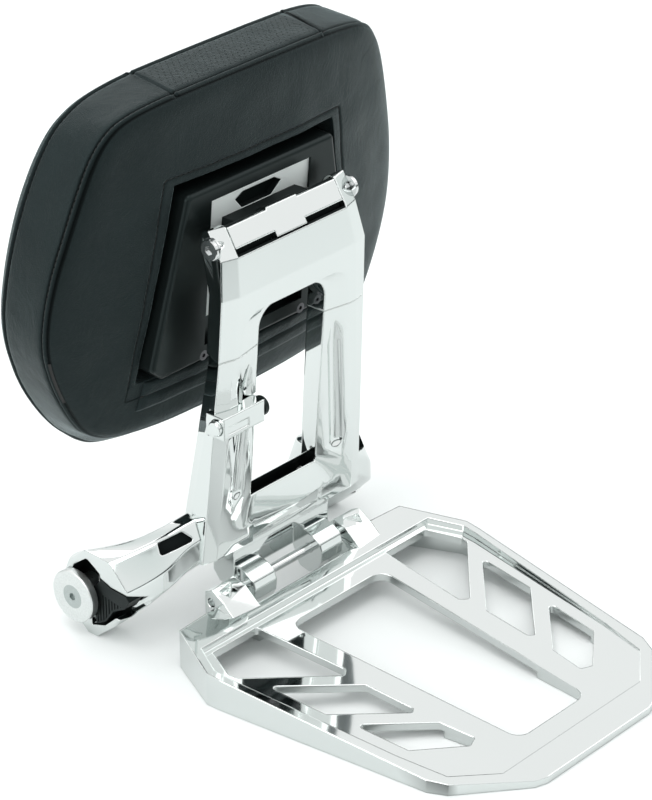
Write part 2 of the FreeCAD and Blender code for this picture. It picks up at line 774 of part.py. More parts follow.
def make_pivot_bolt():
    """Right pivot bolt head with a hexagon socket."""
    x = HEAD_OUT + WASHER_THICK
    head = rod_x(PIVOT_Y, PIVOT_Z, BOLT_HEAD_RADIUS, x, x + BOLT_HEAD_HEIGHT)
    head = head.makeChamfer(0.5, [e for e in head.Edges if abs(e.CenterOfMass.x - head.BoundBox.XMax) < 0.1])
    shank = rod_x(PIVOT_Y, PIVOT_Z, PIVOT_RADIUS - 0.5, HEAD_OUT - 1.0, x)
    socket = hexagon(Vector(x + 0.9, PIVOT_Y, PIVOT_Z), Vector(1, 0, 0), 3.0, 4.0)
    return head.fuse(shank).cut(socket).removeSplitter()


def make_washer():
    """Right pivot washer."""
    ring = rod_x(PIVOT_Y, PIVOT_Z, BOLT_HEAD_RADIUS + 0.6, HEAD_OUT, HEAD_OUT + WASHER_THICK)
    return ring.cut(rod_x(PIVOT_Y, PIVOT_Z, PIVOT_RADIUS, HEAD_OUT - 1.0, HEAD_OUT + 5.0))


# Slide plate and housing


def slide_y(z):
    """Rear face of the slide plate."""
    return HOUSING_Y + (HOUSING_Z - z) * math.tan(math.radians(PAD_LEAN)) + SLIDE_LIP + SLIDE_GAP


def leaning_plate(points, rear, thick, radii=None):
    """Plate over (x, z) points whose faces lean like the pad, its rear face at distance rear."""
    flat = [Vector(x, 0, z) for x, z in points]
    wire = rounded(flat, radii) if radii else polygon(flat)
    lean = math.radians(PAD_LEAN)
    column = prism(wire, Vector(0, 200.0, 0))
    y = lambda z: HOUSING_Y + (HOUSING_Z - z) * math.tan(lean) + rear
    low = min(z for x, z in points) - 10.0
    high = max(z for x, z in points) + 10.0
    layer = side([
        (y(low), low),
        (y(low) + thick, low),
        (y(high) + thick, high),
        (y(high), high),
    ], -200.0, 200.0)
    return column.common(layer)


def make_slide_plate():
    """Slide plate with clipped corners and a six-sided hole near its top edge."""
    plate = leaning_plate([
        (-SLIDE_HALF, SLIDE_LOW + 5.0),
        (-SLIDE_HALF + 5.0, SLIDE_LOW),
        (SLIDE_HALF - 5.0, SLIDE_LOW),
        (SLIDE_HALF, SLIDE_LOW + 5.0),
        (SLIDE_HALF, SLIDE_TOP),
        (-SLIDE_HALF, SLIDE_TOP),
    ], SLIDE_LIP + SLIDE_GAP, SLIDE_THICK)
    hole = leaning_plate([
        (-20.0, SLIDE_TOP - 6.0),
        (-14.0, SLIDE_TOP - 2.6),
        (12.0, SLIDE_TOP - 2.6),
        (18.0, SLIDE_TOP - 6.0),
        (10.0, SLIDE_TOP - 13.0),
        (-14.0, SLIDE_TOP - 13.0),
    ], 0.0, SLIDE_THICK + 5.0)
    return plate.cut(hole)


def housing_outline(inset):
    """Outline of the housing, inset by a distance."""
    return [
        (-60.0 + inset, 280.0 - inset),
        (60.0 - inset, 280.0 - inset),
        (83.5 - inset, 176.0),
        (74.0 - inset, 168.0 + inset),
        (-74.0 + inset, 168.0 + inset),
        (-83.5 + inset, 176.0),
    ]


def rear_limit(z):
    """Distance that only the rear face of the housing lies behind."""
    return HOUSING_Y + (HOUSING_Z - z) * math.tan(math.radians(PAD_LEAN)) + 0.5


def make_housing():
    """Moulded housing with a lipped channel that the slide plate runs in."""
    body = leaning_plate(housing_outline(0.0), 0.0, HOUSING_DEPTH, [4.0] * 6)
    top = SLIDE_TOP + 1.0
    low = SLIDE_LOW - SLIDE_TRAVEL - 1.0
    half = SLIDE_HALF + SLIDE_GAP
    channel = leaning_plate([
        (-half, low),
        (half, low),
        (half, top),
        (-half, top),
    ], SLIDE_LIP, SLIDE_THICK + 2 * SLIDE_GAP)
    window = leaning_plate([
        (-WINDOW_HALF, low + 3.0),
        (WINDOW_HALF, low + 3.0),
        (WINDOW_HALF, top),
        (-WINDOW_HALF, top),
    ], -1.0, SLIDE_LIP + 2.0)
    rear = [e for e in body.Edges if e.Length > 9.0 and e.CenterOfMass.y < rear_limit(e.CenterOfMass.z)]
    body = body.makeFillet(HOUSING_EDGE, rear)
    body = body.cut(channel).cut(window)
    for x in HOUSING_SCREWS:
        body = body.cut(screw_shape(x, 0.1, 0.0))
    return body.removeSplitter()


def screw_shape(x, grow, socket):
    """Countersunk screw of the housing, its head flush with the rear face."""
    lean = math.radians(PAD_LEAN)
    axis = Vector(0, math.cos(lean), math.sin(lean))
    base = Vector(x, HOUSING_Y + (HOUSING_Z - HOUSING_SCREW_Z) * math.tan(lean), HOUSING_SCREW_Z)
    head = Part.makeCone(3.2 + grow, 1.6 + grow, 2.4, base, axis)
    shank = Part.makeCylinder(1.6 + grow, HOUSING_DEPTH + BOARD_THICK - 1.0, base, axis)
    body = head.fuse(shank)
    if socket > 0:
        body = body.cut(hexagon(base - axis * 0.5, axis, socket, 1.8))
    return body


def make_housing_screws():
    """Screws through the housing's foot into the board."""
    return Part.makeCompound([screw_shape(x, 0.0, 1.4) for x in HOUSING_SCREWS])


def make_board():
    """Flat board inside the cushion that the housing is screwed to."""
    body = leaning_plate(housing_outline(1.0), HOUSING_DEPTH, BOARD_THICK)
    for x in HOUSING_SCREWS:
        body = body.cut(screw_shape(x, 0.0, 0.0))
    return body


# Cushion


PAD_STATIONS = [0.0, 35.0, 62.0, 84.0, 101.0, 114.0, 125.0, 134.0, 140.0, 142.0]
REAR_TOP = [338.7, 338.5, 337.8, 335.3, 330.5, 316.5, 289.0, 260.0, 236.0, 219.0]
REAR_LOW = [131.0, 131.0, 131.5, 132.5, 136.0, 143.0, 160.0, 178.0, 194.0, 206.0]
FRONT_TOP = [343.1, 342.9, 341.6, 338.4, 332.0, 320.0, 297.0, 270.0, 240.0, 222.0]
FRONT_LOW = [104.0, 104.5, 106.5, 112.5, 126.5, 142.0, 159.5, 182.0, 203.0, 214.0]


def pad_sweep(x):
    """How far the pad's surface is swept forward at X."""
    return PAD_SWEEP * (abs(x) / PAD_HALF) ** PAD_SWEEP_POWER


def pad_rear(x, z):
    """Rear seam surface of the pad."""
    return PAD_SEAM_Y + (PAD_SEAM_Z - z) * math.tan(math.radians(PAD_LEAN)) + pad_sweep(x)


def pad_front(x, z):
    """Front seam surface of the pad."""
    return PAD_FRONT_Y + (PAD_FRONT_Z - z) * math.tan(math.radians(PAD_LEAN)) + pad_sweep(x)


def pad_section(x, index):
    """Closed outline of the cushion at X: crowned rear and front faces and flat gussets."""
    fade = 1.0 - (abs(x) / (PAD_HALF + 2.0)) ** 2
    rt = REAR_TOP[index]
    rb = REAR_LOW[index]
    ft = FRONT_TOP[index]
    fb = FRONT_LOW[index]
    a = Vector(x, pad_rear(x, rb), rb)
    b = Vector(x, pad_rear(x, rt), rt)
    c = Vector(x, pad_front(x, ft), ft)
    d = Vector(x, pad_front(x, fb), fb)
    rm = (rt + rb) / 2
    fm = (ft + fb) / 2
    rear = Vector(x, pad_rear(x, rm) - PAD_REAR_CROWN * fade - 0.4, rm)
    face = Vector(x, pad_front(x, fm) + PAD_FRONT_CROWN * fade + 0.6, fm)
    return Part.Wire([
        Part.Arc(a, rear, b).toShape(),
        Part.makeLine(b, c),
        Part.Arc(c, face, d).toShape(),
        Part.makeLine(d, a),
    ])


def make_cushion():
    """Cushion: crowned front, gusset all round, sides swept forward and a cut-out behind."""
    wires = []
    for index in range(len(PAD_STATIONS) - 1, 0, -1):
        wires.append(pad_section(-PAD_STATIONS[index], index))
    for index in range(len(PAD_STATIONS)):
        wires.append(pad_section(PAD_STATIONS[index], index))
    body = Part.makeLoft(wires, True, False)
    cut = leaning_plate([
        (-CUT_TOP_HALF, CUT_TOP_Z),
        (CUT_TOP_HALF, CUT_TOP_Z),
        (CUT_LOW_HALF, CUT_LOW_Z),
        (-CUT_LOW_HALF, CUT_LOW_Z),
    ], -30.0, 30.0 + HOUSING_DEPTH + BOARD_THICK + SOFT_GAP)
    return body.cut(cut)


def make_strap(cushion):
    """Lower leather strap, which lies on the cushion below the cut-out."""
    band = front([
        (-84.0, 147.0),
        (84.0, 147.0),
        (80.0, 164.5),
        (-80.0, 164.5),
    ], 50.0, 100.0)
    skin = cushion.copy()
    skin.translate(Vector(0, -STRAP_THICK, 0))
    return band.common(skin).cut(cushion)


# Arms, dock discs and levers


ARM_SECTIONS = [
    (60.0, [(52, 53), (49.5, 58), (50, 70), (56, 81), (66, 81), (72, 72), (72, 60), (66, 53)]),
    (76.0, [(62, 43), (56, 50), (56, 64), (62, 77), (76, 72), (90, 56), (90, 44), (80, 36)]),
    (91.0, [(72, 28), (62, 39), (62, 52), (72, 68), (96, 59), (124, 44), (132, 20), (106, -1)]),
    (HOOD_OUT, [(88, 12), (75, 29), (76, 40), (90, 55), (110, 56), (124, 44), (134, 20), (106, -3)]),
]
HOOD_CAVITY = [(98, 44), (109, 51), (120, 42.5), (128, 26), (122, 15), (112, 8), (100, 20)]
ARM_RADIUS = 3.0
ARM_POCKET = [(88.4, 67.6, 69.6), (75.5, 60.8, 74.6), (70.5, 54.5, 69.0), (89.0, 64.6, 62.2)]
ARM_POCKET_DEPTH = 5.0


def make_arm(leg):
    """Right arm: a cast horn that ends in a hollow hood open to the outside."""
    wires = []
    for x, points in ARM_SECTIONS:
        wires.append(rounded([Vector(x, y, z) for y, z in points], [ARM_RADIUS] * len(points)))
    body = Part.makeLoft(wires, True, False)
    body = body.common(Part.makeBox(200.0, 300.0, 200.0, Vector(0, 0, 0)))
    cavity = side(HOOD_CAVITY, HOOD_FLOOR, HOOD_OUT + 5.0, [3.0] * len(HOOD_CAVITY))
    around_neck = rod_x(DISC_Y, DISC_Z, NECK_RADIUS + HOOD_GAP, HOOD_FLOOR, HOOD_OUT + 5.0)
    body = body.cut(cavity).cut(around_neck)
    mouth = side([
        (108.5, 33.8),
        (106.3, 6.5),
        (95.0, 10.5),
        (86.0, 19.0),
        (70.0, 20.0),
        (66.0, 38.0),
        (89.7, 39.0),
        (98.7, 42.0),
    ], LEVER_IN - LEVER_SWING_GAP, HOOD_OUT + 5.0)
    body = body.cut(mouth)
    body = body.cut(make_arm_pocket())
    pin = Part.makeCylinder(LEVER_PIN_RADIUS, LEVER_PIN_LENGTH, lever_pin_base())
    bore = rod_x(DISC_Y, DISC_Z, DISC_BOLT_RADIUS, DISC_BOLT_IN, HOOD_OUT)
    return body.cut(pin).cut(bore).cut(leg).cut(arm_bolt_space())


def make_arm_pocket():
    """Four-sided pocket in the upper rear facet of the right arm."""
    corners = [Vector(x, y, z) for x, y, z in ARM_POCKET]
    inward = (corners[1] - corners[0]).cross(corners[3] - corners[0]).normalize()
    if inward.y < 0:
        inward = inward * -1.0
    flat = [point - inward * ((point - corners[0]).dot(inward) + 6.0) for point in corners]
    return prism(rounded(flat, [1.5] * 4), inward * (6.0 + ARM_POCKET_DEPTH))


def lever_pin_base():
    """Foot of the right lever pin."""
    return Vector(LEVER_PIN_X, LEVER_PIN_Y, LEVER_PIN_LOW)


def make_arm_bolt():
    """Socket screw from inside the right leg's foot into the arm."""
    shank = rod_x(ARM_BOLT_Y, ARM_BOLT_Z, ARM_BOLT_RADIUS, ARM_BOLT_IN, ARM_BOLT_OUT)
    head = rod_x(ARM_BOLT_Y, ARM_BOLT_Z, ARM_BOLT_HEAD, ARM_BOLT_IN - 5.0, ARM_BOLT_IN)
    base = Vector(ARM_BOLT_IN - 5.5, ARM_BOLT_Y, ARM_BOLT_Z)
    socket = hexagon(base, Vector(1, 0, 0), 2.3, 3.5)
    return head.fuse(shank).cut(socket).removeSplitter()


def arm_bolt_space():
    """Bore and head seat of the right arm bolt, open to the crossbar's pocket."""
    bore = rod_x(ARM_BOLT_Y, ARM_BOLT_Z, ARM_BOLT_RADIUS, ARM_BOLT_IN, ARM_BOLT_OUT + 0.5)
    seat = rod_x(ARM_BOLT_Y, ARM_BOLT_Z, ARM_BOLT_HEAD + BOLT_CLEARANCE, POCKET_HALF - 1.0, ARM_BOLT_IN)
    return bore.fuse(seat)


def make_disc():
    """Right dock disc with its neck and a stepped bore."""
    disc = rod_x(DISC_Y, DISC_Z, DISC_RADIUS, DISC_FACE - DISC_THICK, DISC_FACE)
    rim = [e for e in disc.Edges if len(e.Vertexes) == 1]
    disc = disc.makeChamfer(0.6, rim)
    neck = rod_x(DISC_Y, DISC_Z, NECK_RADIUS, HOOD_FLOOR, DISC_FACE - DISC_THICK)
    body = disc.fuse(neck)
    body = body.cut(rod_x(DISC_Y, DISC_Z, INSERT_RADIUS, DISC_FACE - 3.0, DISC_FACE + 1.0))
    body = body.cut(rod_x(DISC_Y, DISC_Z, DISC_BOLT_RADIUS, HOOD_FLOOR - 1.0, DISC_FACE))
    return body.removeSplitter()


def make_disc_bolt():
    """Right disc bolt: flat head flush with the disc, with a hexagon socket."""
    head = rod_x(DISC_Y, DISC_Z, INSERT_RADIUS, DISC_FACE - 3.0, DISC_FACE)
    shank = rod_x(DISC_Y, DISC_Z, DISC_BOLT_RADIUS, DISC_BOLT_IN, DISC_FACE - 3.0)
    socket = hexagon(Vector(DISC_FACE - 2.5, DISC_Y, DISC_Z), Vector(1, 0, 0), SOCKET_RADIUS, 4.0)
    return head.fuse(shank).cut(socket).removeSplitter()


def make_lever():
    """Right release lever: a ribbed thumb tab on an upright pin."""
    body = side([
        (105.0, 33.0),
        (103.5, 8.0),
        (95.5, 12.5),
        (89.0, 22.0),
        (80.0, 27.0),
        (75.5, 33.5),
        (78.5, 36.5),
        (90.0, 37.0),
        (98.0, 40.0),
    ], LEVER_IN, LEVER_OUT)
    neck = rod_x(DISC_Y, DISC_Z, NECK_RADIUS + LEVER_NECK_GAP, LEVER_IN - 1.0, LEVER_OUT + 1.0)
    body = body.cut(neck)
    for i in range(9):
        y = 101.5 - i * 2.4
        groove = Part.makeBox(1.0, 0.9, 40.0, Vector(LEVER_OUT - 0.6, y, 0.0))
        limit = side([(103.5, 9.0), (96.0, 13.5), (90.0, 22.5), (82.0, 27.5), (98.0, 30.0)], 0.0, 200.0)
        body = body.cut(groove.common(limit))
    pin = Part.makeCylinder(LEVER_PIN_RADIUS + PIN_CLEARANCE, 60.0, Vector(LEVER_PIN_X, LEVER_PIN_Y, 0.0))
    spring = Part.makeCylinder(LEVER_SPRING_RADIUS + 0.3, 40.0, spring_base())
    return body.cut(pin).cut(spring)


def spring_base():
    """Foot of the right lever spring, in its counterbore."""
    return Vector(LEVER_PIN_X, LEVER_PIN_Y, LEVER_SPRING_LOW)


def make_lever_spring():
    """Right lever's torsion spring, as its outer sleeve."""
    base = spring_base() + Vector(0, 0, SOFT_GAP)
    outer = Part.makeCylinder(LEVER_SPRING_RADIUS, LEVER_SPRING_LENGTH, base)
    return outer.cut(Part.makeCylinder(LEVER_PIN_RADIUS + PIN_CLEARANCE, LEVER_SPRING_LENGTH, base))


def make_lever_pin():
    """Right lever pin."""
    return Part.makeCylinder(LEVER_PIN_RADIUS, LEVER_PIN_LENGTH, lever_pin_base())


# Assembly


def make_all():
    """Every piece by its node name."""
    parts = {}
    parts["luggage_rack"] = make_rack()
    parts["hinge_block"] = make_hinge_block()
    parts["hinge_rod"] = make_hinge_rod()
    parts["lower_frame"] = make_lower_frame()
    parts["latch_housing"] = make_latch_housing()
    parts["latch_button"] = make_latch_button()
    parts["latch_spring"] = make_latch_spring()
    parts["latch_cap"] = make_latch_cap()
    parts["upper_frame"] = make_upper_frame()
    parts["hinge_barrel"] = make_barrel()
    parts["tilt_axle"] = make_axle()
    parts["slide_plate"] = make_slide_plate()
    parts["pad_housing"] = make_housing()
    parts["pad_board"] = make_board()
    parts["pad_cushion"] = make_cushion()
    parts["pad_strap"] = make_strap(parts["pad_cushion"])
    parts["housing_screws"] = make_housing_screws()
    pairs = {
        "post": make_post(),
        "pivot_bolt": make_pivot_bolt(),
        "pivot_washer": make_washer(),
        "arm": make_arm(parts["lower_frame"]),
        "dock_disc": make_disc(),
        "disc_bolt": make_disc_bolt(),
        "release_lever": make_lever(),
        "lever_pin": make_lever_pin(),
        "lever_spring": make_lever_spring(),
        "arm_bolt": make_arm_bolt(),
        "block_bolt": make_block_bolt(),
    }
    for name, shape in pairs.items():
        parts["right_" + name] = shape
        parts["left_" + name] = flip(shape)
    return parts


def main():
    """Centre the assembly over its footprint and write one file per piece."""
    os.makedirs("parts", exist_ok=True)
    parts = make_all()
    foremost = parts["pad_cushion"].optimalBoundingBox(False, False).YMax
    shift = Vector(0, -(RACK_REAR + foremost) / 2, 0)
    print("shift", shift)
    for name, shape in sorted(parts.items()):
        placed = shape.copy()
        placed.translate(shift)
        print(name, len(placed.Solids), round(placed.Volume), placed.isValid())
        placed.exportStep("parts/" + name + ".step")


main()
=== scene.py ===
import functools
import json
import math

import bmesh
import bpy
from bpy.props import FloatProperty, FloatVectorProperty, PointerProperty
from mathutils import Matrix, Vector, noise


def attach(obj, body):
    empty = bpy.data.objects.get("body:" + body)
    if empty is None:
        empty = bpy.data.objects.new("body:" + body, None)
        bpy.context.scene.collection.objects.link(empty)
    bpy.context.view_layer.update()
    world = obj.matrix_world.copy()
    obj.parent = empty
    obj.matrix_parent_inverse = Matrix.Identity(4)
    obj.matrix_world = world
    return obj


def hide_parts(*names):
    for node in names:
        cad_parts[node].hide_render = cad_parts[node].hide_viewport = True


bl_info = {
    "name": "Driver Backrest",
    "version": (1, 0, 0),
    "blender": (4, 5, 0),
    "location": "View3D > Sidebar > Backrest",
    "description": "Dresses the backrest in leather, moulded plastic and bright plating",
    "category": "Object",
}

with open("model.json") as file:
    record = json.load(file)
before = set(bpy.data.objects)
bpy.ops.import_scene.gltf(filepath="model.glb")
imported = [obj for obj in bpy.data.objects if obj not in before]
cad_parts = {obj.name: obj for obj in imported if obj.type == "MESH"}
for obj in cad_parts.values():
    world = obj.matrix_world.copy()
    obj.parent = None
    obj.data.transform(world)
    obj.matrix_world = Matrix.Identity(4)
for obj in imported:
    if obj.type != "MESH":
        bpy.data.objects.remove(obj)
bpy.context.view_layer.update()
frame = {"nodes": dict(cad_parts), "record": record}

# Axes of the drawing, in millimetres: x to the rider's right, y forward from the rack's widest
# corner, z up from the ground. The function place turns a point into the frame's metres.
SHIFT_Y = 27.893

# Seam planes of the pad: depth at a height, and the lean that they share
PAD_SLOPE = math.tan(math.radians(5.0))
REAR_SEAM_Y = 70.0
REAR_SEAM_Z = 338.7
FRONT_SEAM_Y = 106.8
FRONT_SEAM_Z = 343.1
SWEEP = 14.0
SWEEP_POWER = 2.5
PAD_HALF = 142.0
HOUSING_Y = 65.0
HOUSING_Z = 269.7
WELL_DEPTH = 28.3

# Outlines of the two seams, right half from the top down, as (x, z)
REAR_SEAM = [
    (0.0, 338.9), (35.0, 338.6), (60.9, 337.6), (79.2, 335.8), (92.8, 333.2), (102.6, 329.0),
    (110.4, 321.5), (116.0, 312.0), (121.0, 299.8), (126.6, 283.5), (132.3, 265.4), (136.8, 250.2),
    (140.2, 233.6), (141.8, 218.2), (141.6, 205.4), (139.4, 193.0), (135.2, 180.2), (128.8, 165.6),
    (121.0, 151.6), (112.5, 142.0), (101.0, 135.7), (85.0, 132.6), (61.5, 131.2), (26.0, 130.7),
]
FRONT_SEAM = [
    (0.0, 343.1), (30.0, 342.9), (59.4, 341.8), (78.0, 339.6), (93.0, 335.6), (104.0, 329.6),
    (113.4, 320.4), (122.5, 304.0), (131.0, 280.9), (136.6, 257.7), (139.8, 236.4), (141.0, 217.7),
    (139.4, 201.0), (135.4, 185.0), (127.8, 164.7), (115.5, 143.9), (101.3, 126.7), (83.0, 112.2),
    (60.0, 106.5), (30.0, 104.2),
]
SEAM_STEPS = 10

# Cut-out for the housing and the stitched border round it, right half, as (x, z)
CUT_OUT = [(65.0, 286.8), (76.5, 226.0), (86.6, 166.5)]
BORDER = [(71.6, 291.3), (91.2, 165.0), (92.6, 156.0)]
BORDER_FOOT_Z = 166.0

# Directions round the pad's heart in which its surface is worked out
HEART_Z = 225.0
DIRECTIONS = 256
PANEL_SEAM_X = 60.0
PANEL_SEAM_Z = 339.5
PANEL_SEAM_TURNS = (-0.012, -0.006, 0.0, 0.006, 0.012)
LEAST_TURN = 0.0025

# Crowned covers: height and half height of the crown, and the rounded shoulder at the seam
CROWN_HALF = 150.0
REAR_CROWN = 6.0
REAR_CROWN_Z = 235.0
REAR_CROWN_HALF = 104.0
REAR_SHOULDER = 2.6
REAR_SHOULDER_REACH = 12.0
FRONT_CROWN = 11.5
FRONT_CROWN_Z = 223.0
FRONT_CROWN_HALF = 120.0
FRONT_SHOULDER = 3.0
FRONT_SHOULDER_REACH = 16.0
BORDER_GROOVE = 0.9
BORDER_GROOVE_HALF = 0.8

# Small waves of the leather: how close together they are, how high, and their distance from a
# seam at full height
FRONT_WAVES = (0.03, 0.8, 25.0)
REAR_WAVES = (0.045, 0.7, 20.0)
GUSSET_WAVES = (0.06, 0.45, 6.0)
GUSSET_CRINKLE = (0.35, 0.22, 4.0)

# Gusset between the seams: its swell, its welts, its stitched grooves and the top's cross seams
GUSSET_WIDTH = 37.0
GUSSET_SWELL = 2.0
GUSSET_SWELL_REACH = 9.0
WELT_HEIGHT = 0.7
WELT_IN = 1.4
WELT_HALF = 0.8
STITCH_IN = 3.2
GROOVE_DEPTH = 1.2
GROOVE_HALF = 0.75
TOP_Z = 320.0
CROSS_SEAM_DEPTH = 1.1
CROSS_SEAM_RIDGE = 0.5
CROSS_SEAM_RIDGE_OUT = 2.0

# Painted shade in the grooves: its strength at a seam, and its half width at each kind of groove
SEAM_SHADE = 0.9
STITCH_SHADE_HALF = 0.55
GUSSET_SEAM_SHADE_HALF = 0.45
CROSS_SEAM_SHADE_HALF = 0.7
REAR_SEAM_SHADE_HALF = 0.5
BORDER_SHADE_HALF = 0.6

# Rings of the cushion's mesh, as shares of each surface or as millimetres from a seam
FRONT_SHARES = (0.12, 0.25, 0.38, 0.5, 0.62, 0.72, 0.8, 0.86, 0.91, 0.945, 0.97, 0.985, 0.995)
GUSSET_STEPS = (0.0, 0.5, 1.0, 1.5, 2.0, 2.5, 2.9, 3.2, 3.6, 4.1, 5.0, 6.5, 8.5, 11.0, 14.0)
REAR_SHARES = (
    0.997, 0.994, 0.988, 0.978, 0.97, 0.95, 0.92, 0.88, 0.83, 0.77, 0.70, 0.62, 0.54, 0.46, 0.38,
    0.30, 0.22, 0.15, 0.10, 0.06, 0.035, 0.02, 0.01, 0.0, -0.12, -0.3, -0.6, -0.9, -1.0,
)
WALL_SHARES = (0.03, 0.1, 0.4, 0.97, 1.0)
FLOOR_SHARES = (0.98, 0.5)

# Two sewn bands below the cut-out
BAND_HALF = 84.0
BAND_TOP = 165.5
BAND_LOW = 147.0
BAND_TAPER = 4.0
BAND_COLUMNS = 97
BAND_ROWS = 25
BAND_LIFT = 0.5
BAND_CROWN = 2.0
BAND_END = 3.0
BAND_BACK = 0.8
BAND_WAVE = 0.35
BAND_WAVE_SCALE = 0.11
BAND_SEAM_POINTS = 120
INSIDE = 30.0

# How far the stitch rows of the border and between the bands lie behind the rear cover
BORDER_THREAD = 0.15
BAND_THREAD = 0.7

# Bare tag in the lower left of the rear seam, between two directions from the top in degrees
TAG_FROM = 360.0 - 113.5
TAG_TO = 360.0 - 101.5
TAG_STEPS = 12
TAG_SHARE = 0.97

# Perforations of the top panel, drawn as dark dots of painted shade
HOLE_ROWS = 9
HOLE_COLUMNS = 14
HOLE_STEP = 4.1
HOLE_X_LIMIT = 56.5
HOLE_Z = 340.0
HOLE_FIRST = 0.16
HOLE_ROW_STEP = 0.083

# Stitches and holes, in metres
STITCH_SPACING = 0.0036
STITCH_LENGTH = 0.0026
THREAD_RADIUS = 0.0004
HOLE_RADIUS = 0.00034
HOLE_DEPTH = 0.00025

# Axle of the tilt hinge, as (y, z)
PIVOT = (50.5, 251.5)

# Painted shade in the hollows of the castings, and a painted dark reflection on the hinge barrel's neck.
# A pocket has a mouth, the way it goes in, its reach and its depth.
BAR_MOUTH = (0.0, 53.4, 85.0)
BAR_INWARD = (0.0, 0.707, -0.707)
BAR_REACH = 32.0
BAR_DEPTH = 19.0
BAR_HOLLOW_Y = (56.0, 66.0)
BAR_HOLLOW_Z = (70.0, 86.0)
ARM_MOUTH = (80.8, 61.9, 68.9)
ARM_INWARD = (-0.6, 0.73, -0.32)
ARM_REACH = 14.0
ARM_DEPTH = 6.0
HOOD = (100.0, 113.0, 30.0)
HOOD_X = (92.2, 105.8)
HOOD_REACH = 27.0
NECK_HALF = 12.6
SLOT_TOP = 249.6
SADDLE_HALF = 45.5
SADDLE_REACH = 11.5
PLATE_HOLE_HALF = 34.0
PLATE_HOLE_Z = 240.0

# Castings that are reshaped: the foot bar's top, the front of the legs' inner walls, the axle
BAR_TOP = 88.0
BAR_BEHIND = 54.0
BAR_FALL = 0.6
LEG_IN = 28.0
LEG_WIDTH = 26.0
LEG_FOOT = 60.0
WALL_FRONT = 56.8
WALL_TOP = 184.0
WALL_RAKE = 0.032
WALL_KEPT = 0.2
AXLE_EASE = 0.08
SHARP_ANGLE = 22.0

# Studio, in metres
FLOOR_HALF = 6.0
FLOOR_DROP = 0.0002
FLOOR_COLOUR = (0.92, 0.93, 0.93)
AIM = (0.0, 0.0, 0.15)
LAMPS = (
    ("Key", (-0.3, 0.1, 2.0), 1.4, 11.0),
    ("Side", (-1.7, 0.3, 0.7), 1.0, 8.0),
    ("Fill", (1.6, -0.4, 1.2), 1.2, 4.0),
    ("Back", (0.3, 1.5, 1.4), 1.2, 6.0),
)
CAMERA_AT = (-1220.96, -1084.86, 1027.1)

# What the bright metal mirrors: a dark band along the horizon, and a painted reflection of the floor that
# is darker far away and in a strip on one side, with painted shade close to the object
HORIZON = (
    (0.0, (0.55, 0.62, 0.61)),
    (0.47, (0.55, 0.62, 0.61)),
    (0.485, (0.02, 0.03, 0.03)),
    (0.545, (0.02, 0.03, 0.03)),
    (0.562, (0.8, 0.85, 0.84)),
    (0.66, (1.0, 1.0, 1.0)),
)
# Colour of the painted dark reflection of the floor
PAINTED_REFLECTION_DARK = (0.03, 0.035, 0.035)
FAR_FLOOR = (2.7, 3.3)
STRIP_WAY = (-0.742, -0.670)
STRIP_HALF = (16.0, 11.0)
STRIP_FROM = (0.13, 0.18)
NEAR_MIDDLE = (0.0, -0.03, 0.0)
NEAR_FLOOR = (0.14, 0.08)
NEAR_SHADE = 0.30
LEAST_SHADE = 0.17


def place(x, y, z):
    """Point of the drawing in the frame's metres."""
    return Vector((x / 1000.0, (y + SHIFT_Y) / 1000.0, z / 1000.0))


def drawn(point):
    """Point of the frame, in metres, in the drawing's millimetres."""
    back = point * 1000.0
    back.y -= SHIFT_Y
    return back


# Materials


def new_material(name):
    """Material with an empty tree, its shader and its output."""
    mat = bpy.data.materials.new(name)
    mat.use_nodes = True
    tree = mat.node_tree
    tree.nodes.clear()
    out = tree.nodes.new("ShaderNodeOutputMaterial")
    shader = tree.nodes.new("ShaderNodeBsdfPrincipled")
    tree.links.new(shader.outputs["BSDF"], out.inputs["Surface"])
    return mat, tree, shader


def add(tree, kind, **values):
    """Node with its properties or sockets set by name."""
    node = tree.nodes.new(kind)
    for key, value in values.items():
        if hasattr(node, key):
            setattr(node, key, value)
        else:
            node.inputs[key].default_value = value
    return node


def grain(tree, kind, scale, **values):
    """Texture on object coordinates, which are the same for every piece in the frame."""
    node = add(tree, kind, **values)
    node.inputs["Scale"].default_value = scale
    where = tree.nodes.new("ShaderNodeTexCoord")
    tree.links.new(where.outputs["Object"], node.inputs["Vector"])
    return node


def bump(tree, shader, height, strength, distance, after=None):
    """Bump from a height, chained after another one if given."""
    node = add(tree, "ShaderNodeBump", Strength=strength, Distance=distance)
    tree.links.new(height, node.inputs["Height"])
    if after is not None:
        tree.links.new(after.outputs["Normal"], node.inputs["Normal"])
    tree.links.new(node.outputs["Normal"], shader.inputs["Normal"])
    return node


def ramp(tree, factor, stops):
    """Colours blended along a factor, from stops of (place, colour)."""
    node = tree.nodes.new("ShaderNodeValToRGB")
    elements = node.color_ramp.elements
    while len(elements) < len(stops):
        elements.new(0.5)
    for element, (at, colour) in zip(elements, stops):
        element.position = at
        element.color = (*colour, 1.0)
    tree.links.new(factor, node.inputs["Fac"])
    return node.outputs["Color"]


def span(tree, factor, low, high):
    """Factor stretched to a range."""
    node = tree.nodes.new("ShaderNodeMapRange")
    node.inputs["To Min"].default_value = low
    node.inputs["To Max"].default_value = high
    tree.links.new(factor, node.inputs["Value"])
    return node.outputs["Result"]


def toned(colour, share):
    """A colour made darker or lighter by a share."""
    return [c * share for c in colour]


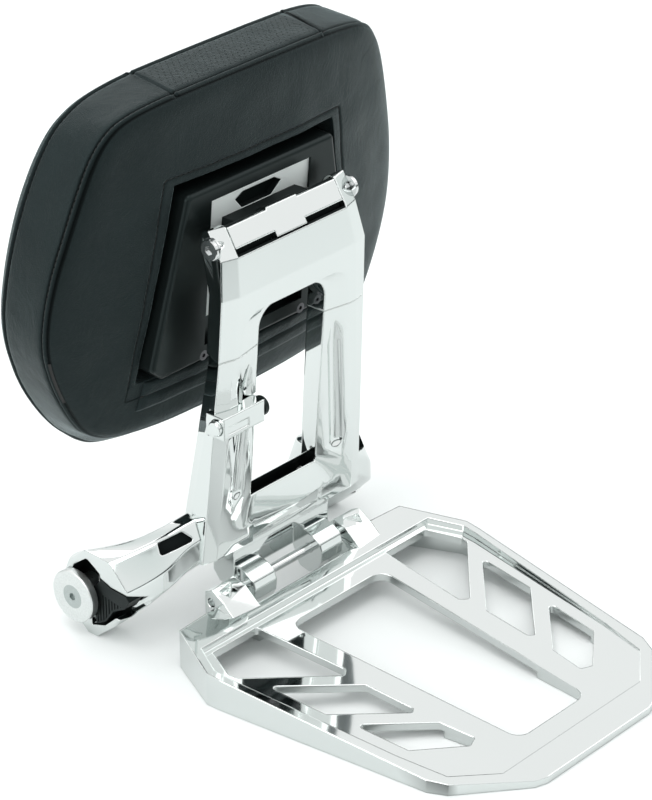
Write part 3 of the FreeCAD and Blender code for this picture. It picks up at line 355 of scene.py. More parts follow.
def bright_plating(name, colour, rough, wave, metal=1.0):
    """Bright plating over a casting, with rounded edges, faint waves and light haze."""
    mat, tree, shader = new_material(name)
    shader.inputs["Metallic"].default_value = metal
    cloud = grain(tree, "ShaderNodeTexNoise", 9.0, Detail=2.0)
    shade = ramp(tree, cloud.outputs["Fac"], [(0.35, toned(colour, 0.985)), (0.65, colour)])
    tree.links.new(shade, shader.inputs["Base Color"])
    haze = grain(tree, "ShaderNodeTexNoise", 45.0, Detail=4.0)
    tree.links.new(span(tree, haze.outputs["Fac"], rough, rough * 2.2), shader.inputs["Roughness"])
    waves = grain(tree, "ShaderNodeTexNoise", 34.0, Detail=1.0)
    surface = bump(tree, shader, waves.outputs["Fac"], wave, 0.0006)
    edge = add(tree, "ShaderNodeBevel", samples=8)
    edge.inputs["Radius"].default_value = bpy.context.scene.backrest_looks.edge_round
    tree.links.new(edge.outputs["Normal"], surface.inputs["Normal"])
    return mat


def turned_metal(name, colour, rough):
    """Turned steel, with fine tool marks."""
    mat, tree, shader = new_material(name)
    shader.inputs["Metallic"].default_value = 1.0
    marks = grain(tree, "ShaderNodeTexNoise", 900.0, Detail=2.0)
    shade = ramp(tree, marks.outputs["Fac"], [(0.3, toned(colour, 0.9)), (0.7, colour)])
    tree.links.new(shade, shader.inputs["Base Color"])
    polish = span(tree, marks.outputs["Fac"], rough * 0.8, rough * 1.3)
    tree.links.new(polish, shader.inputs["Roughness"])
    bump(tree, shader, marks.outputs["Fac"], 0.12, 0.00005)
    return mat


def moulded(name, colour, rough, scale):
    """Moulded black plastic with a fine spark texture."""
    mat, tree, shader = new_material(name)
    shader.inputs["Specular IOR Level"].default_value = 0.26
    shader.inputs["Specular Tint"].default_value = (0.78, 1.0, 1.0, 1.0)
    spark = grain(tree, "ShaderNodeTexNoise", scale, Detail=3.0)
    cloud = grain(tree, "ShaderNodeTexNoise", 14.0, Detail=3.0)
    shade = ramp(tree, cloud.outputs["Fac"], [(0.3, colour), (0.75, toned(colour, 1.5))])
    tree.links.new(shade, shader.inputs["Base Color"])
    polish = span(tree, cloud.outputs["Fac"], rough * 0.85, rough * 1.2)
    tree.links.new(polish, shader.inputs["Roughness"])
    bump(tree, shader, spark.outputs["Fac"], 0.25, 0.0001)
    return mat


def leather(name, colour, rough, pebble):
    """Black upholstery leather: pebbled grain, fine creases, soft wear, painted shade in the seams'
    grooves, low sheen.
    """
    mat, tree, shader = new_material(name)
    cells = grain(tree, "ShaderNodeTexVoronoi", pebble, feature="DISTANCE_TO_EDGE")
    coarse = grain(tree, "ShaderNodeTexNoise", 26.0, Detail=5.0, Roughness=0.6)
    fine = grain(tree, "ShaderNodeTexNoise", pebble * 1.7, Detail=4.0, Roughness=0.65)
    wrinkles = grain(tree, "ShaderNodeTexNoise", 55.0, Detail=6.0, Roughness=0.7, Distortion=1.2)
    stops = [(0.30, toned(colour, 0.75)), (0.55, colour), (0.75, toned(colour, 1.35))]
    shade = ramp(tree, coarse.outputs["Fac"], stops)
    # Painted shade: the groove attribute darkens the colour to near black and takes the reflection away
    # in the seams' grooves
    groove_shade = add(tree, "ShaderNodeAttribute", attribute_name="groove_shade").outputs["Fac"]
    shadow = add(tree, "ShaderNodeMix", data_type="RGBA")
    tree.links.new(groove_shade, shadow.inputs["Factor"])
    tree.links.new(shade, shadow.inputs[6])
    shadow.inputs[7].default_value = (0.0008, 0.001, 0.001, 1.0)
    tree.links.new(shadow.outputs[2], shader.inputs["Base Color"])
    polish = span(tree, coarse.outputs["Fac"], rough * 0.85, rough * 1.25)
    tree.links.new(polish, shader.inputs["Roughness"])
    tree.links.new(span(tree, groove_shade, 0.26, 0.0), shader.inputs["Specular IOR Level"])
    shader.inputs["Specular Tint"].default_value = (0.72, 0.98, 1.0, 1.0)
    shader.inputs["Sheen Weight"].default_value = 0.30
    shader.inputs["Sheen Roughness"].default_value = 0.3
    shader.inputs["Sheen Tint"].default_value = (0.75, 0.97, 1.0, 1.0)
    first = bump(tree, shader, wrinkles.outputs["Fac"], 0.45, 0.0012)
    second = bump(tree, shader, fine.outputs["Fac"], 0.60, 0.0004, first)
    bump(tree, shader, cells.outputs["Distance"], 0.60, 0.0004, second)
    return mat


def ply(name, dark, pale):
    """Plain plywood, for the board inside the cushion."""
    mat, tree, shader = new_material(name)
    rings = grain(tree, "ShaderNodeTexWave", 60.0, Distortion=6.0, Detail=3.0)
    shade = ramp(tree, rings.outputs["Fac"], [(0.2, dark), (0.8, pale)])
    tree.links.new(shade, shader.inputs["Base Color"])
    shader.inputs["Roughness"].default_value = 0.7
    bump(tree, shader, rings.outputs["Fac"], 0.2, 0.0002)
    return mat


def thread(name, colour):
    """Twisted sewing thread."""
    mat, tree, shader = new_material(name)
    twist = grain(tree, "ShaderNodeTexWave", 1400.0, Distortion=1.0)
    shade = ramp(tree, twist.outputs["Fac"], [(0.2, toned(colour, 0.6)), (0.8, colour)])
    tree.links.new(shade, shader.inputs["Base Color"])
    shader.inputs["Roughness"].default_value = 0.6
    bump(tree, shader, twist.outputs["Fac"], 0.3, 0.0001)
    return mat


def finishes():
    """Maker, name and values of every finish, by the slot or the detail that it is for."""
    looks = bpy.context.scene.backrest_looks
    cover = looks.leather
    wear = looks.leather_roughness
    return {
        "bright_cast": (bright_plating, "Bright plated casting", looks.plating, looks.plating_haze, 0.10),
        "bright_plate": (bright_plating, "Bright plated sheet", (0.86, 0.9, 0.89), 0.3, 0.05, 0.15),
        "turned_steel": (turned_metal, "Turned steel", (0.80, 0.82, 0.82), 0.16),
        "disc_face": (turned_metal, "Brushed disc", (0.86, 0.89, 0.88), 0.30),
        "disc_screw": (turned_metal, "Zinc screw", (0.55, 0.60, 0.59), 0.34),
        "dark_steel": (turned_metal, "Dark steel", (0.16, 0.16, 0.17), 0.35),
        "moulded_black": (moulded, "Moulded black", (0.004, 0.0055, 0.0055), 0.30, 1500.0),
        "lever_black": (moulded, "Lever nylon", (0.007, 0.008, 0.008), 0.38, 1100.0),
        "board_wood": (ply, "Board plywood", (0.42, 0.29, 0.16), (0.60, 0.44, 0.27)),
        "black_leather": (leather, "Black leather", cover, wear, 900.0),
        "strap_leather": (leather, "Strap leather", cover, wear, 700.0),
        "thread": (thread, "Black thread", (0.004, 0.005, 0.005)),
        # Painted shade: a dark matte finish on the castings' hollows and the top panel's holes
        "shadow_black": (moulded, "Dark recess", (0.004, 0.005, 0.005), 0.7, 600.0),
        "tag_black": (thread, "Woven tag", (0.010, 0.011, 0.011)),
    }


@functools.cache
def finish_of(name):
    """One of the shared materials, made on first use."""
    maker, *values = finishes()[name]
    return maker(*values)


# Objects


def linked(name, data):
    """New object in the scene."""
    obj = bpy.data.objects.new(name, data)
    bpy.context.scene.collection.objects.link(obj)
    return obj


def dress(obj, mat):
    """Gives an object one material."""
    obj.data.materials.clear()
    obj.data.materials.append(mat)


def settle(obj, mat, body):
    """Gives a piece its material and the body that it rides on."""
    dress(obj, mat)
    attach(obj, body)


# Shape of the cushion


def closed_curve(points, steps):
    """Smooth closed line through points, with as many short steps from one to the next."""
    count = len(points)
    result = []
    for i in range(count):
        a, b, c, d = (Vector(points[(i + k) % count]) for k in (-1, 0, 1, 2))
        for s in range(steps):
            t = s / steps
            line = 2 * b + (c - a) * t
            bend = (2 * a - 5 * b + 4 * c - d) * t * t + (3 * b - a - 3 * c + d) * t ** 3
            result.append(0.5 * (line + bend))
    return result


def whole(half):
    """Closed outline from its right half, which starts at the top of the middle plane."""
    inner = [p for p in half if p[0] > 0.5]
    left = [(-x, z) for x, z in reversed(inner)]
    foot = [(0.0, half[-1][1])] if half[-1][0] > 0.5 else []
    return [half[0]] + inner + foot + left


def mirrored(half):
    """Closed outline from a right half that has no point on the middle plane."""
    return half + [(-x, z) for x, z in reversed(half)]


def ray_reach(outline, angle):
    """Distance from the pad's heart to an outline in a direction, angle 0 up and 90 to the right."""
    dx = math.sin(angle)
    dz = math.cos(angle)
    best = 0.0
    for p, q in zip(outline, outline[1:] + outline[:1]):
        px, pz = p[0], p[1] - HEART_Z
        ex, ez = q[0] - p[0], q[1] - p[1]
        cross = dx * ez - dz * ex
        if abs(cross) < 1e-9:
            continue
        along = (px * ez - pz * ex) / cross
        share = (px * dz - pz * dx) / cross
        if along > 0 and -1e-6 <= share <= 1 + 1e-6:
            best = max(best, along)
    return best


def sweep(x):
    """How far the pad is swept forward at x."""
    return SWEEP * (abs(x) / PAD_HALF) ** SWEEP_POWER


def rear_plane(x, z):
    """Depth of the rear seam surface."""
    return REAR_SEAM_Y + (REAR_SEAM_Z - z) * PAD_SLOPE + sweep(x)


def front_plane(x, z):
    """Depth of the front seam surface."""
    return FRONT_SEAM_Y + (FRONT_SEAM_Z - z) * PAD_SLOPE + sweep(x)


def well_plane(z):
    """Depth of the cut-out's floor, just in front of the housing."""
    return HOUSING_Y + (HOUSING_Z - z) * PAD_SLOPE + WELL_DEPTH


def ease(t):
    """Smooth step from 0 to 1."""
    t = min(1.0, max(0.0, t))
    return t * t * (3 - 2 * t)


def roll(distance, reach):
    """Rounded shoulder that rises from 0 at a seam to 1 at a reach."""
    t = min(1.0, distance / reach)
    return math.sqrt(max(0.0, 1 - (1 - t) ** 2))


def bell(distance, half):
    """Round bump that is 1 in the middle and fades out past a half width."""
    return math.exp(-(distance / half) ** 2)


def pucker(x, y, z, to_seam, waves):
    """Small even waves of the leather, which fade out towards a seam."""
    scale, amount, reach = waves
    return amount * noise.noise(Vector((x, y, z)) * scale) * ease(to_seam / reach)


class PadShape:
    """Surfaces of the cushion, worked out in directions from the line through its heart."""

    def __init__(self):
        """Finds the directions, and how far each outline reaches in them."""
        self.angles = self.choose_angles()
        self.to_rear = self.reaches(closed_curve(whole(REAR_SEAM), SEAM_STEPS))
        self.to_front = self.reaches(closed_curve(whole(FRONT_SEAM), SEAM_STEPS))
        self.to_cut = self.reaches([Vector(p) for p in mirrored(CUT_OUT)])
        self.to_border = self.reaches(mirrored(BORDER))

    def choose_angles(self):
        """Even directions, with more at the cut-out's corners and the top's cross seams."""
        angles = [2 * math.pi * i / DIRECTIONS for i in range(DIRECTIONS)]
        for x, z in (CUT_OUT[0], CUT_OUT[-1]):
            angle = math.atan2(x, z - HEART_Z)
            angles += [angle, 2 * math.pi - angle]
        top = math.atan2(PANEL_SEAM_X, PANEL_SEAM_Z - HEART_Z)
        for turn in PANEL_SEAM_TURNS:
            angles += [top + turn, 2 * math.pi - top - turn]
        angles = sorted(a % (2 * math.pi) for a in angles)
        kept = [angles[0]]
        for a in angles[1:]:
            if a - kept[-1] > LEAST_TURN:
                kept.append(a)
        return kept

    def reaches(self, outline):
        """Distance from the heart to an outline in every direction."""
        return [ray_reach(outline, a) for a in self.angles]

    def at(self, index, reach):
        """Point (x, z) at a distance from the heart."""
        a = self.angles[index]
        return reach * math.sin(a), HEART_Z + reach * math.cos(a)

    def front_point(self, index, share):
        """Front cover, from the middle at 0 to the seam at 1."""
        high = self.to_front[index]
        reach = high * share
        x, z = self.at(index, reach)
        fade = 1.0 - (x / CROWN_HALF) ** 2
        up = (z - FRONT_CROWN_Z) / FRONT_CROWN_HALF
        crown = FRONT_CROWN * fade * max(0.0, 1.0 - up * up)
        shoulder = FRONT_SHOULDER * roll(high - reach, FRONT_SHOULDER_REACH)
        wave = pucker(x, 40.0, z, high - reach, FRONT_WAVES)
        return Vector((x, front_plane(x, z) + crown + shoulder + wave, z))

    def rear_surface(self, x, z, to_seam):
        """Rear cover at (x, z), a distance inside the seam."""
        fade = 1.0 - (x / CROWN_HALF) ** 2
        up = (z - REAR_CROWN_Z) / REAR_CROWN_HALF
        crown = REAR_CROWN * fade * max(0.0, 1.0 - up * up)
        shoulder = REAR_SHOULDER * roll(to_seam, REAR_SHOULDER_REACH)
        wave = pucker(x, 0.0, z, to_seam, REAR_WAVES)
        return Vector((x, rear_plane(x, z) - crown - shoulder + wave, z))

    def rear_point(self, index, share):
        """Rear cover, from the cut-out's edge at -1 past its stitched border at 0 to the seam at 1."""
        middle = self.to_border[index]
        high = self.to_rear[index]
        other = high if share > 0 else self.to_cut[index]
        reach = middle + (other - middle) * abs(share)
        x, z = self.at(index, reach)
        point = self.rear_surface(x, z, high - reach)
        if z > BORDER_FOOT_Z:
            point.y += BORDER_GROOVE * bell(reach - middle, BORDER_GROOVE_HALF)
        return point

    def gusset_point(self, index, share):
        """Gusset, from the front seam at 0 to the rear seam at 1."""
        x0, z0 = self.at(index, self.to_front[index])
        x1, z1 = self.at(index, self.to_rear[index])
        p = Vector((x0, front_plane(x0, z0), z0))
        q = Vector((x1, rear_plane(x1, z1), z1))
        point = p.lerp(q, share)
        near = min(share, 1 - share) * (q - p).length
        swell = GUSSET_SWELL * roll(near, GUSSET_SWELL_REACH)
        swell += WELT_HEIGHT * bell(near - WELT_IN, WELT_HALF)
        swell -= GROOVE_DEPTH * bell(near - STITCH_IN, GROOVE_HALF)
        if point.z > TOP_Z:
            off = abs(abs(point.x) - PANEL_SEAM_X)
            swell -= CROSS_SEAM_DEPTH * bell(off, 1.0)
            swell += CROSS_SEAM_RIDGE * bell(off - CROSS_SEAM_RIDGE_OUT, 1.0)
        swell += pucker(point.x, point.y, point.z, near, GUSSET_WAVES)
        swell += pucker(point.x, point.y * 0.4, point.z, near, GUSSET_CRINKLE)
        return point + self.outward(self.angles[index]) * swell

    def outward(self, angle):
        """Way from the heart in a direction."""
        return Vector((math.sin(angle), 0.0, math.cos(angle)))

    def gusset_groove_shade(self, index, share):
        """How deep in a seam's groove a point of the gusset lies, as painted shade from 0 to 1."""
        near = min(share, 1 - share) * GUSSET_WIDTH
        depth = bell(near - STITCH_IN, STITCH_SHADE_HALF)
        depth = max(depth, SEAM_SHADE * bell(near, GUSSET_SEAM_SHADE_HALF))
        x, z = self.at(index, self.to_rear[index])
        if z > TOP_Z:
            depth = max(depth, bell(abs(x) - PANEL_SEAM_X, CROSS_SEAM_SHADE_HALF))
        return depth

    def rear_groove_shade(self, index, share):
        """How deep in a groove a point of the rear cover lies, as painted shade from 0 to 1."""
        middle = self.to_border[index]
        high = self.to_rear[index]
        if share > 0:
            off = (high - middle) * share
            depth = SEAM_SHADE * bell((high - middle) * (1 - share), REAR_SEAM_SHADE_HALF)
        else:
            off = (middle - self.to_cut[index]) * -share
            depth = 0.0
        return max(depth, SEAM_SHADE * bell(off, BORDER_SHADE_HALF))

    def gusset_at(self, angle, share):
        """Gusset in any direction, with the way it faces."""
        index = max(i for i, a in enumerate(self.angles) if a <= angle)
        after = (index + 1) % len(self.angles)
        gap = (self.angles[after] - self.angles[index]) % (2 * math.pi)
        part = (angle - self.angles[index]) / gap
        point = self.gusset_point(index, share).lerp(self.gusset_point(after, share), part)
        along = self.gusset_point(after, share) - self.gusset_point(index, share)
        across = self.gusset_point(index, share + 0.02) - self.gusset_point(index, share - 0.02)
        facing = along.cross(across).normalized()
        return point, facing if facing.dot(self.outward(angle)) > 0 else -facing

    def wall_point(self, index, share):
        """Wall of the cut-out, from the rear cover's edge at 0 to the floor at 1."""
        x, z = self.at(index, self.to_cut[index])
        edge = self.rear_point(index, -1.0)
        return Vector((x, edge.y + (well_plane(z) - edge.y) * share, z))

    def floor_point(self, index, share):
        """Floor of the cut-out, from the heart at 0 to the wall at 1."""
        x, z = self.at(index, self.to_cut[index])
        z = HEART_Z + (z - HEART_Z) * share
        return Vector((x * share, well_plane(z), z))

    def gusset_row(self, from_seam):
        """Line round the gusset at a distance from the front seam, or from the rear one if negative."""
        share = from_seam / GUSSET_WIDTH
        if share < 0:
            share += 1
        return [place(*self.gusset_point(i, share)) for i in range(len(self.angles))]

    def border_row(self):
        """Line of the stitched border round the cut-out's sides and top."""
        turned = [(angle + math.pi) % (2 * math.pi) for angle in self.angles]
        points = [self.rear_point(i, 0.0) for i in sorted(range(len(turned)), key=turned.__getitem__)]
        return [place(p.x, p.y - BORDER_THREAD, p.z) for p in points if p.z > BORDER_FOOT_Z]

    def band_row(self):
        """Line of the seam between the two sewn bands."""
        z = (BAND_TOP + BAND_LOW) / 2
        points = []
        for k in range(BAND_SEAM_POINTS):
            x = (2 * k / (BAND_SEAM_POINTS - 1) - 1) * (BAND_HALF - BAND_END)
            points.append(place(x, self.rear_surface(x, z, INSIDE).y - BAND_THREAD, z))
        return points


@functools.cache
def pad_shape():
    """Shape of the cushion, worked out once."""
    return PadShape()


# Meshes of the cushion's pieces


def new_piece(name, verts, faces, mat, body):
    """Smooth mesh piece at the origin that rides on a body."""
    mesh = bpy.data.meshes.new(name)
    mesh.from_pydata([tuple(v) for v in verts], [], faces)
    mesh.validate()
    for polygon in mesh.polygons:
        polygon.use_smooth = True
    obj = linked(name, mesh)
    settle(obj, mat, body)
    return obj


def mark_groove_shade(obj, groove_shades):
    """Gives a mesh its painted groove shade, one value for each vertex."""
    layer = obj.data.attributes.new("groove_shade", "FLOAT", "POINT")
    layer.data.foreach_set("value", groove_shades)


def gusset_shares():
    """Rings of the gusset, close together at both seams."""
    edge = [step / GUSSET_WIDTH for step in GUSSET_STEPS]
    return edge + [0.5] + [1 - share for share in reversed(edge)]


def no_groove_shade(index, share):
    """Painted groove shade of a surface that has no seam: none."""
    return 0.0


def cushion_surfaces(shape):
    """Surfaces of the cushion from the front to the cut-out's floor: points, painted groove shade and
    rings.
    """
    return (
        (shape.front_point, no_groove_shade, FRONT_SHARES),
        (shape.gusset_point, shape.gusset_groove_shade, gusset_shares()),
        (shape.rear_point, shape.rear_groove_shade, REAR_SHARES),
        (shape.wall_point, no_groove_shade, WALL_SHARES),
        (shape.floor_point, no_groove_shade, FLOOR_SHARES),
    )


def make_cushion_mesh(shape):
    """Vertices, faces and painted groove shade of the closed cushion."""
    count = len(shape.angles)
    verts = [place(*shape.front_point(0, 0.0))]
    groove_shades = [0.0]
    for point, groove_shade, shares in cushion_surfaces(shape):
        for share in shares:
            verts += [place(*point(i, share)) for i in range(count)]
            groove_shades += [groove_shade(i, share) for i in range(count)]
    rings = (len(verts) - 1) // count
    verts.append(place(*shape.floor_point(0, 0.0)))
    groove_shades.append(0.0)
    faces = [(0, 1 + i, 1 + (i + 1) % count) for i in range(count)]
    for ring in range(rings - 1):
        here = 1 + ring * count
        after = here + count
        for i in range(count):
            j = (i + 1) % count
            faces.append((here + i, after + i, after + j, here + j))
    here = 1 + (rings - 1) * count
    pole = len(verts) - 1
    for i in range(count):
        faces.append((here + i, pole, here + (i + 1) % count))
    return verts, faces, groove_shades


def make_band_mesh(shape):
    """Vertices and faces of the two sewn bands below the cut-out, one closed slab."""
    outside = []
    inside = []
    for row in range(BAND_ROWS):
        t = row / (BAND_ROWS - 1)
        z = BAND_TOP + (BAND_LOW - BAND_TOP) * t
        half = BAND_HALF - BAND_TAPER + BAND_TAPER * t
        across = (2 * t) % 1.0 if t < 1.0 else 1.0
        rise = BAND_LIFT + BAND_CROWN * (1 - (2 * across - 1) ** 4)
        for column in range(BAND_COLUMNS):
            x = half * (2 * column / (BAND_COLUMNS - 1) - 1)
            end = 1 - ease((half - abs(x)) / BAND_END)
            wave = BAND_WAVE * noise.noise(Vector((x * BAND_WAVE_SCALE, t * 2.0, 7.0)))
            y = shape.rear_surface(x, z, INSIDE).y
            outside.append(place(x, y - (rise + wave) * (1 - 0.7 * end), z))
            inside.append(place(x, y + BAND_BACK, z))
    under = len(outside)
    faces = []
    for row in range(BAND_ROWS - 1):
        for column in range(BAND_COLUMNS - 1):
            a = row * BAND_COLUMNS + column
            b = a + BAND_COLUMNS
            faces.append((a, b, b + 1, a + 1))
            faces.append((under + a, under + a + 1, under + b + 1, under + b))
    last = (BAND_ROWS - 1) * BAND_COLUMNS
    rim = list(range(BAND_COLUMNS))
    rim += [row * BAND_COLUMNS + BAND_COLUMNS - 1 for row in range(1, BAND_ROWS)]
    rim += [last + column for column in range(BAND_COLUMNS - 2, -1, -1)]
    rim += [row * BAND_COLUMNS for row in range(BAND_ROWS - 2, 0, -1)]
    for a, b in zip(rim, rim[1:] + rim[:1]):
        faces.append((a, b, under + b, under + a))
    return outside + inside, faces


def tag_section(bend):
    """Folded section of the tag from the seam, as (towards the heart, forward)."""
    return (
        (0.0, 0.0), (2.0, -1.9), (4.5 + bend, -2.6),
        (5.4 + bend, -2.1), (5.2 + bend, -1.3), (2.2, -0.6),
    )


def make_tag_mesh(shape):
    """Vertices and faces of the bare woven tag, folded out of the lower left rear seam."""
    low = math.radians(TAG_FROM)
    high = math.radians(TAG_TO)
    verts = []
    for step in range(TAG_STEPS + 1):
        angle = low + (high - low) * step / TAG_STEPS
        inward = -shape.outward(angle)
        root = shape.gusset_at(angle, TAG_SHARE)[0] + inward * 0.4 + Vector((0, -1.0, 0))
        section = tag_section(0.5 * math.sin(step * 0.9))
        for over, forward in section:
            verts.append(place(*(root + inward * over + Vector((0, forward, 0)))))
    corners = len(section)
    faces = []
    for step in range(TAG_STEPS):
        here = step * corners
        for i in range(corners):
            j = (i + 1) % corners
            faces.append((here + i, here + j, here + corners + j, here + corners + i))
    faces.append(tuple(range(corners)))
    faces.append(tuple(TAG_STEPS * corners + i for i in reversed(range(corners))))
    return verts, faces


def make_hole_points(shape):
    """Mesh of points for the holes of the top panel, each with the way it faces."""
    points = []
    facing = []
    for row in range(HOLE_ROWS):
        share = HOLE_FIRST + HOLE_ROW_STEP * row
        for column in range(-HOLE_COLUMNS, HOLE_COLUMNS + 1):
            x = (column + 0.5 * (row % 2)) * HOLE_STEP
            if abs(x) > HOLE_X_LIMIT:
                continue
            angle = math.atan2(x, HOLE_Z - HEART_Z) % (2 * math.pi)
            point, normal = shape.gusset_at(angle, share)
            points.append(place(*point))
            facing.append(normal)
    mesh = bpy.data.meshes.new("perforation points")
    mesh.from_pydata([tuple(p) for p in points], [], [])
    layer = mesh.attributes.new("facing", "FLOAT_VECTOR", "POINT")
    layer.data.foreach_set("vector", [c for n in facing for c in n])
    return mesh


def line_mesh(name, lines):
    """Mesh of edges along lines of points, each (points, closed)."""
    verts = []
    edges = []
    for points, closed in lines:
        base = len(verts)
        verts += [tuple(p) for p in points]
        edges += [(base + i, base + i + 1) for i in range(len(points) - 1)]
        if closed:
            edges.append((base + len(points) - 1, base))
    mesh = bpy.data.meshes.new(name)
    mesh.from_pydata(verts, edges, [])
    return mesh


# Geometry nodes for what repeats


def new_tree(name, sizes):
    """Geometry node tree with named sizes and a material, its nodes, its links and its two ends."""
    tree = bpy.data.node_groups.new(name, "GeometryNodeTree")
    face = tree.interface
    face.new_socket("Geometry", in_out="INPUT", socket_type="NodeSocketGeometry")
    for label, value in sizes:
        socket = face.new_socket(label, in_out="INPUT", socket_type="NodeSocketFloat")
        socket.subtype = "DISTANCE"
        socket.default_value = value
    face.new_socket("Material", in_out="INPUT", socket_type="NodeSocketMaterial")
    face.new_socket("Geometry", in_out="OUTPUT", socket_type="NodeSocketGeometry")
    start = tree.nodes.new("NodeGroupInput")
    end = tree.nodes.new("NodeGroupOutput")
    return tree, tree.nodes, tree.links.new, start, end


def lay_out(tree, points, shape, way, start, end):
    """Lays a shape on points, turned to a way, and ends in a plain mesh with its material."""
    nodes = tree.nodes
    link = tree.links.new
    turn = nodes.new("FunctionNodeAlignRotationToVector")
    turn.axis = "Z"
    lay = nodes.new("GeometryNodeInstanceOnPoints")
    solid = nodes.new("GeometryNodeRealizeInstances")
    coat = nodes.new("GeometryNodeSetMaterial")
    link(points, lay.inputs["Points"])
    link(shape, lay.inputs["Instance"])
    link(way, turn.inputs["Vector"])
    link(turn.outputs["Rotation"], lay.inputs["Rotation"])
    link(lay.outputs["Instances"], solid.inputs["Geometry"])
    link(solid.outputs["Geometry"], coat.inputs["Geometry"])
    link(start.outputs["Material"], coat.inputs["Material"])
    link(coat.outputs["Geometry"], end.inputs["Geometry"])


def stitch_tree():
    """Geometry nodes that lay stitches along a line."""
    sizes = (("Spacing", STITCH_SPACING), ("Length", STITCH_LENGTH), ("Radius", THREAD_RADIUS))
    tree, nodes, link, start, end = new_tree("Stitch row", sizes)
    line = nodes.new("GeometryNodeMeshToCurve")
    spaced = nodes.new("GeometryNodeResampleCurve")
    spaced.mode = "LENGTH"
    along = nodes.new("GeometryNodeInputTangent")
    bead = nodes.new("GeometryNodeMeshCylinder")
    bead.inputs["Vertices"].default_value = 6
    link(start.outputs["Geometry"], line.inputs["Mesh"])
    link(line.outputs["Curve"], spaced.inputs["Curve"])
    link(start.outputs["Spacing"], spaced.inputs["Length"])
    link(start.outputs["Radius"], bead.inputs["Radius"])
    link(start.outputs["Length"], bead.inputs["Depth"])
    points = spaced.outputs["Curve"]
    lay_out(tree, points, bead.outputs["Mesh"], along.outputs["Tangent"], start, end)
    return tree


def hole_tree():
    """Geometry nodes that set a dark dot of painted hole shade at every point, square to its facing."""
    sizes = (("Radius", HOLE_RADIUS), ("Depth", HOLE_DEPTH))
    tree, nodes, link, start, end = new_tree("Perforation", sizes)
    cloud = nodes.new("GeometryNodeMeshToPoints")
    facing = nodes.new("GeometryNodeInputNamedAttribute")
    facing.data_type = "FLOAT_VECTOR"
    facing.inputs["Name"].default_value = "facing"
    dot = nodes.new("GeometryNodeMeshCylinder")
    dot.inputs["Vertices"].default_value = 7
    link(start.outputs["Geometry"], cloud.inputs["Mesh"])
    link(start.outputs["Radius"], dot.inputs["Radius"])
    link(start.outputs["Depth"], dot.inputs["Depth"])
    points = cloud.outputs["Points"]
    lay_out(tree, points, dot.outputs["Mesh"], facing.outputs["Attribute"], start, end)
    return tree


def grown(name, mesh, tree, values, body, mat):
    """Piece that a geometry node tree grows on a mesh, applied to a plain mesh."""
    obj = linked(name, mesh)
    modifier = obj.modifiers.new("Grown", "NODES")
    modifier.node_group = tree
    values = dict(values, Material=mat)
    for item in tree.interface.items_tree:
        if item.in_out == "INPUT" and item.name in values:
            modifier[item.identifier] = values[item.name]
    graph = bpy.context.evaluated_depsgraph_get()
    made = bpy.data.meshes.new_from_object(obj.evaluated_get(graph))
    obj.modifiers.clear()
    obj.data = made
    bpy.data.meshes.remove(mesh)
    settle(obj, mat, body)
    return obj


# Painted shade in the hollows of the castings


def to_right(vector, side):
    """A point or a way, mirrored to the rider's right where the side is -1."""
    return Vector((side * vector.x, vector.y, vector.z))


def in_pocket(centre, normal, mouth, inward, reach, depth):
    """Whether a face is the floor or a wall of a pocket."""
    inward = Vector(inward).normalized()
    off = centre - Vector(mouth)
    deep = off.dot(inward)
    if deep < 0.2 or deep > depth + 0.6:
        return False
    flat = off - inward * deep
    if flat.length > reach + 1.0:
        return False
    if normal.dot(inward) < -0.9:
        return deep > depth * 0.5
    return abs(normal.dot(inward)) < 0.3 and normal.dot(flat) < 0.0


def in_bar_pocket(centre, normal):
    """Whether a face of the lower casting lies in the foot bar's pocket."""
    if in_pocket(centre, normal, BAR_MOUTH, BAR_INWARD, BAR_REACH, BAR_DEPTH):
        return True
    along = BAR_HOLLOW_Y[0] < centre.y < BAR_HOLLOW_Y[1]
    down = BAR_HOLLOW_Z[0] < centre.z < BAR_HOLLOW_Z[1]
    return abs(centre.x) < LEG_IN - 0.1 and along and down


def in_arm_hollow(centre, normal):
    """Whether a face of an arm lies in its pocket or inside its hood."""
    side = math.copysign(1.0, centre.x)
    spot = to_right(centre, side)
    facing = to_right(normal, side)
    if in_pocket(spot, facing, ARM_MOUTH, ARM_INWARD, ARM_REACH, ARM_DEPTH):
        return True
    inside = spot - Vector(HOOD)
    return HOOD_X[0] < spot.x < HOOD_X[1] and inside.length <= HOOD_REACH and facing.dot(inside) < 0.0


def in_barrel_gap(centre, normal):
    """Whether a face of the barrel lies in its undercut, for painted shade, or on its neck, for a painted
    dark reflection.
    """
    if abs(centre.x) > NECK_HALF and centre.z < SLOT_TOP and normal.y < 0.3:
        return True
    return centre.y > PIVOT[0] + 0.5 and normal.y > -0.9


def in_saddle(centre, normal):
    """Whether a face of the head lies in the seat of the barrel."""
    off = Vector((0.0, centre.y - PIVOT[0], centre.z - PIVOT[1]))
    return abs(centre.x) < SADDLE_HALF and off.length < SADDLE_REACH and normal.dot(off) < 0.0


def in_plate_hole(centre, normal):
    """Whether a face is a wall of the slide plate's hole."""
    return abs(normal.y) < 0.6 and abs(centre.x) < PLATE_HOLE_HALF and centre.z > PLATE_HOLE_Z


# Faces that get painted shade, by casting
HOLLOWS = {
    "lower_frame": in_bar_pocket,
    "left_arm": in_arm_hollow,
    "right_arm": in_arm_hollow,
    "hinge_barrel": in_barrel_gap,
    "upper_frame": in_saddle,
    "slide_plate": in_plate_hole,
}


def shade_hollows(obj, in_hollow):
    """Gives the faces in a casting's hollows the dark finish of painted shade."""
    mesh = obj.data
    mesh.materials.append(finish_of("shadow_black"))
    for face in mesh.polygons:
        if in_hollow(drawn(face.center), face.normal):
            face.material_index = 1


# Castings that are reshaped


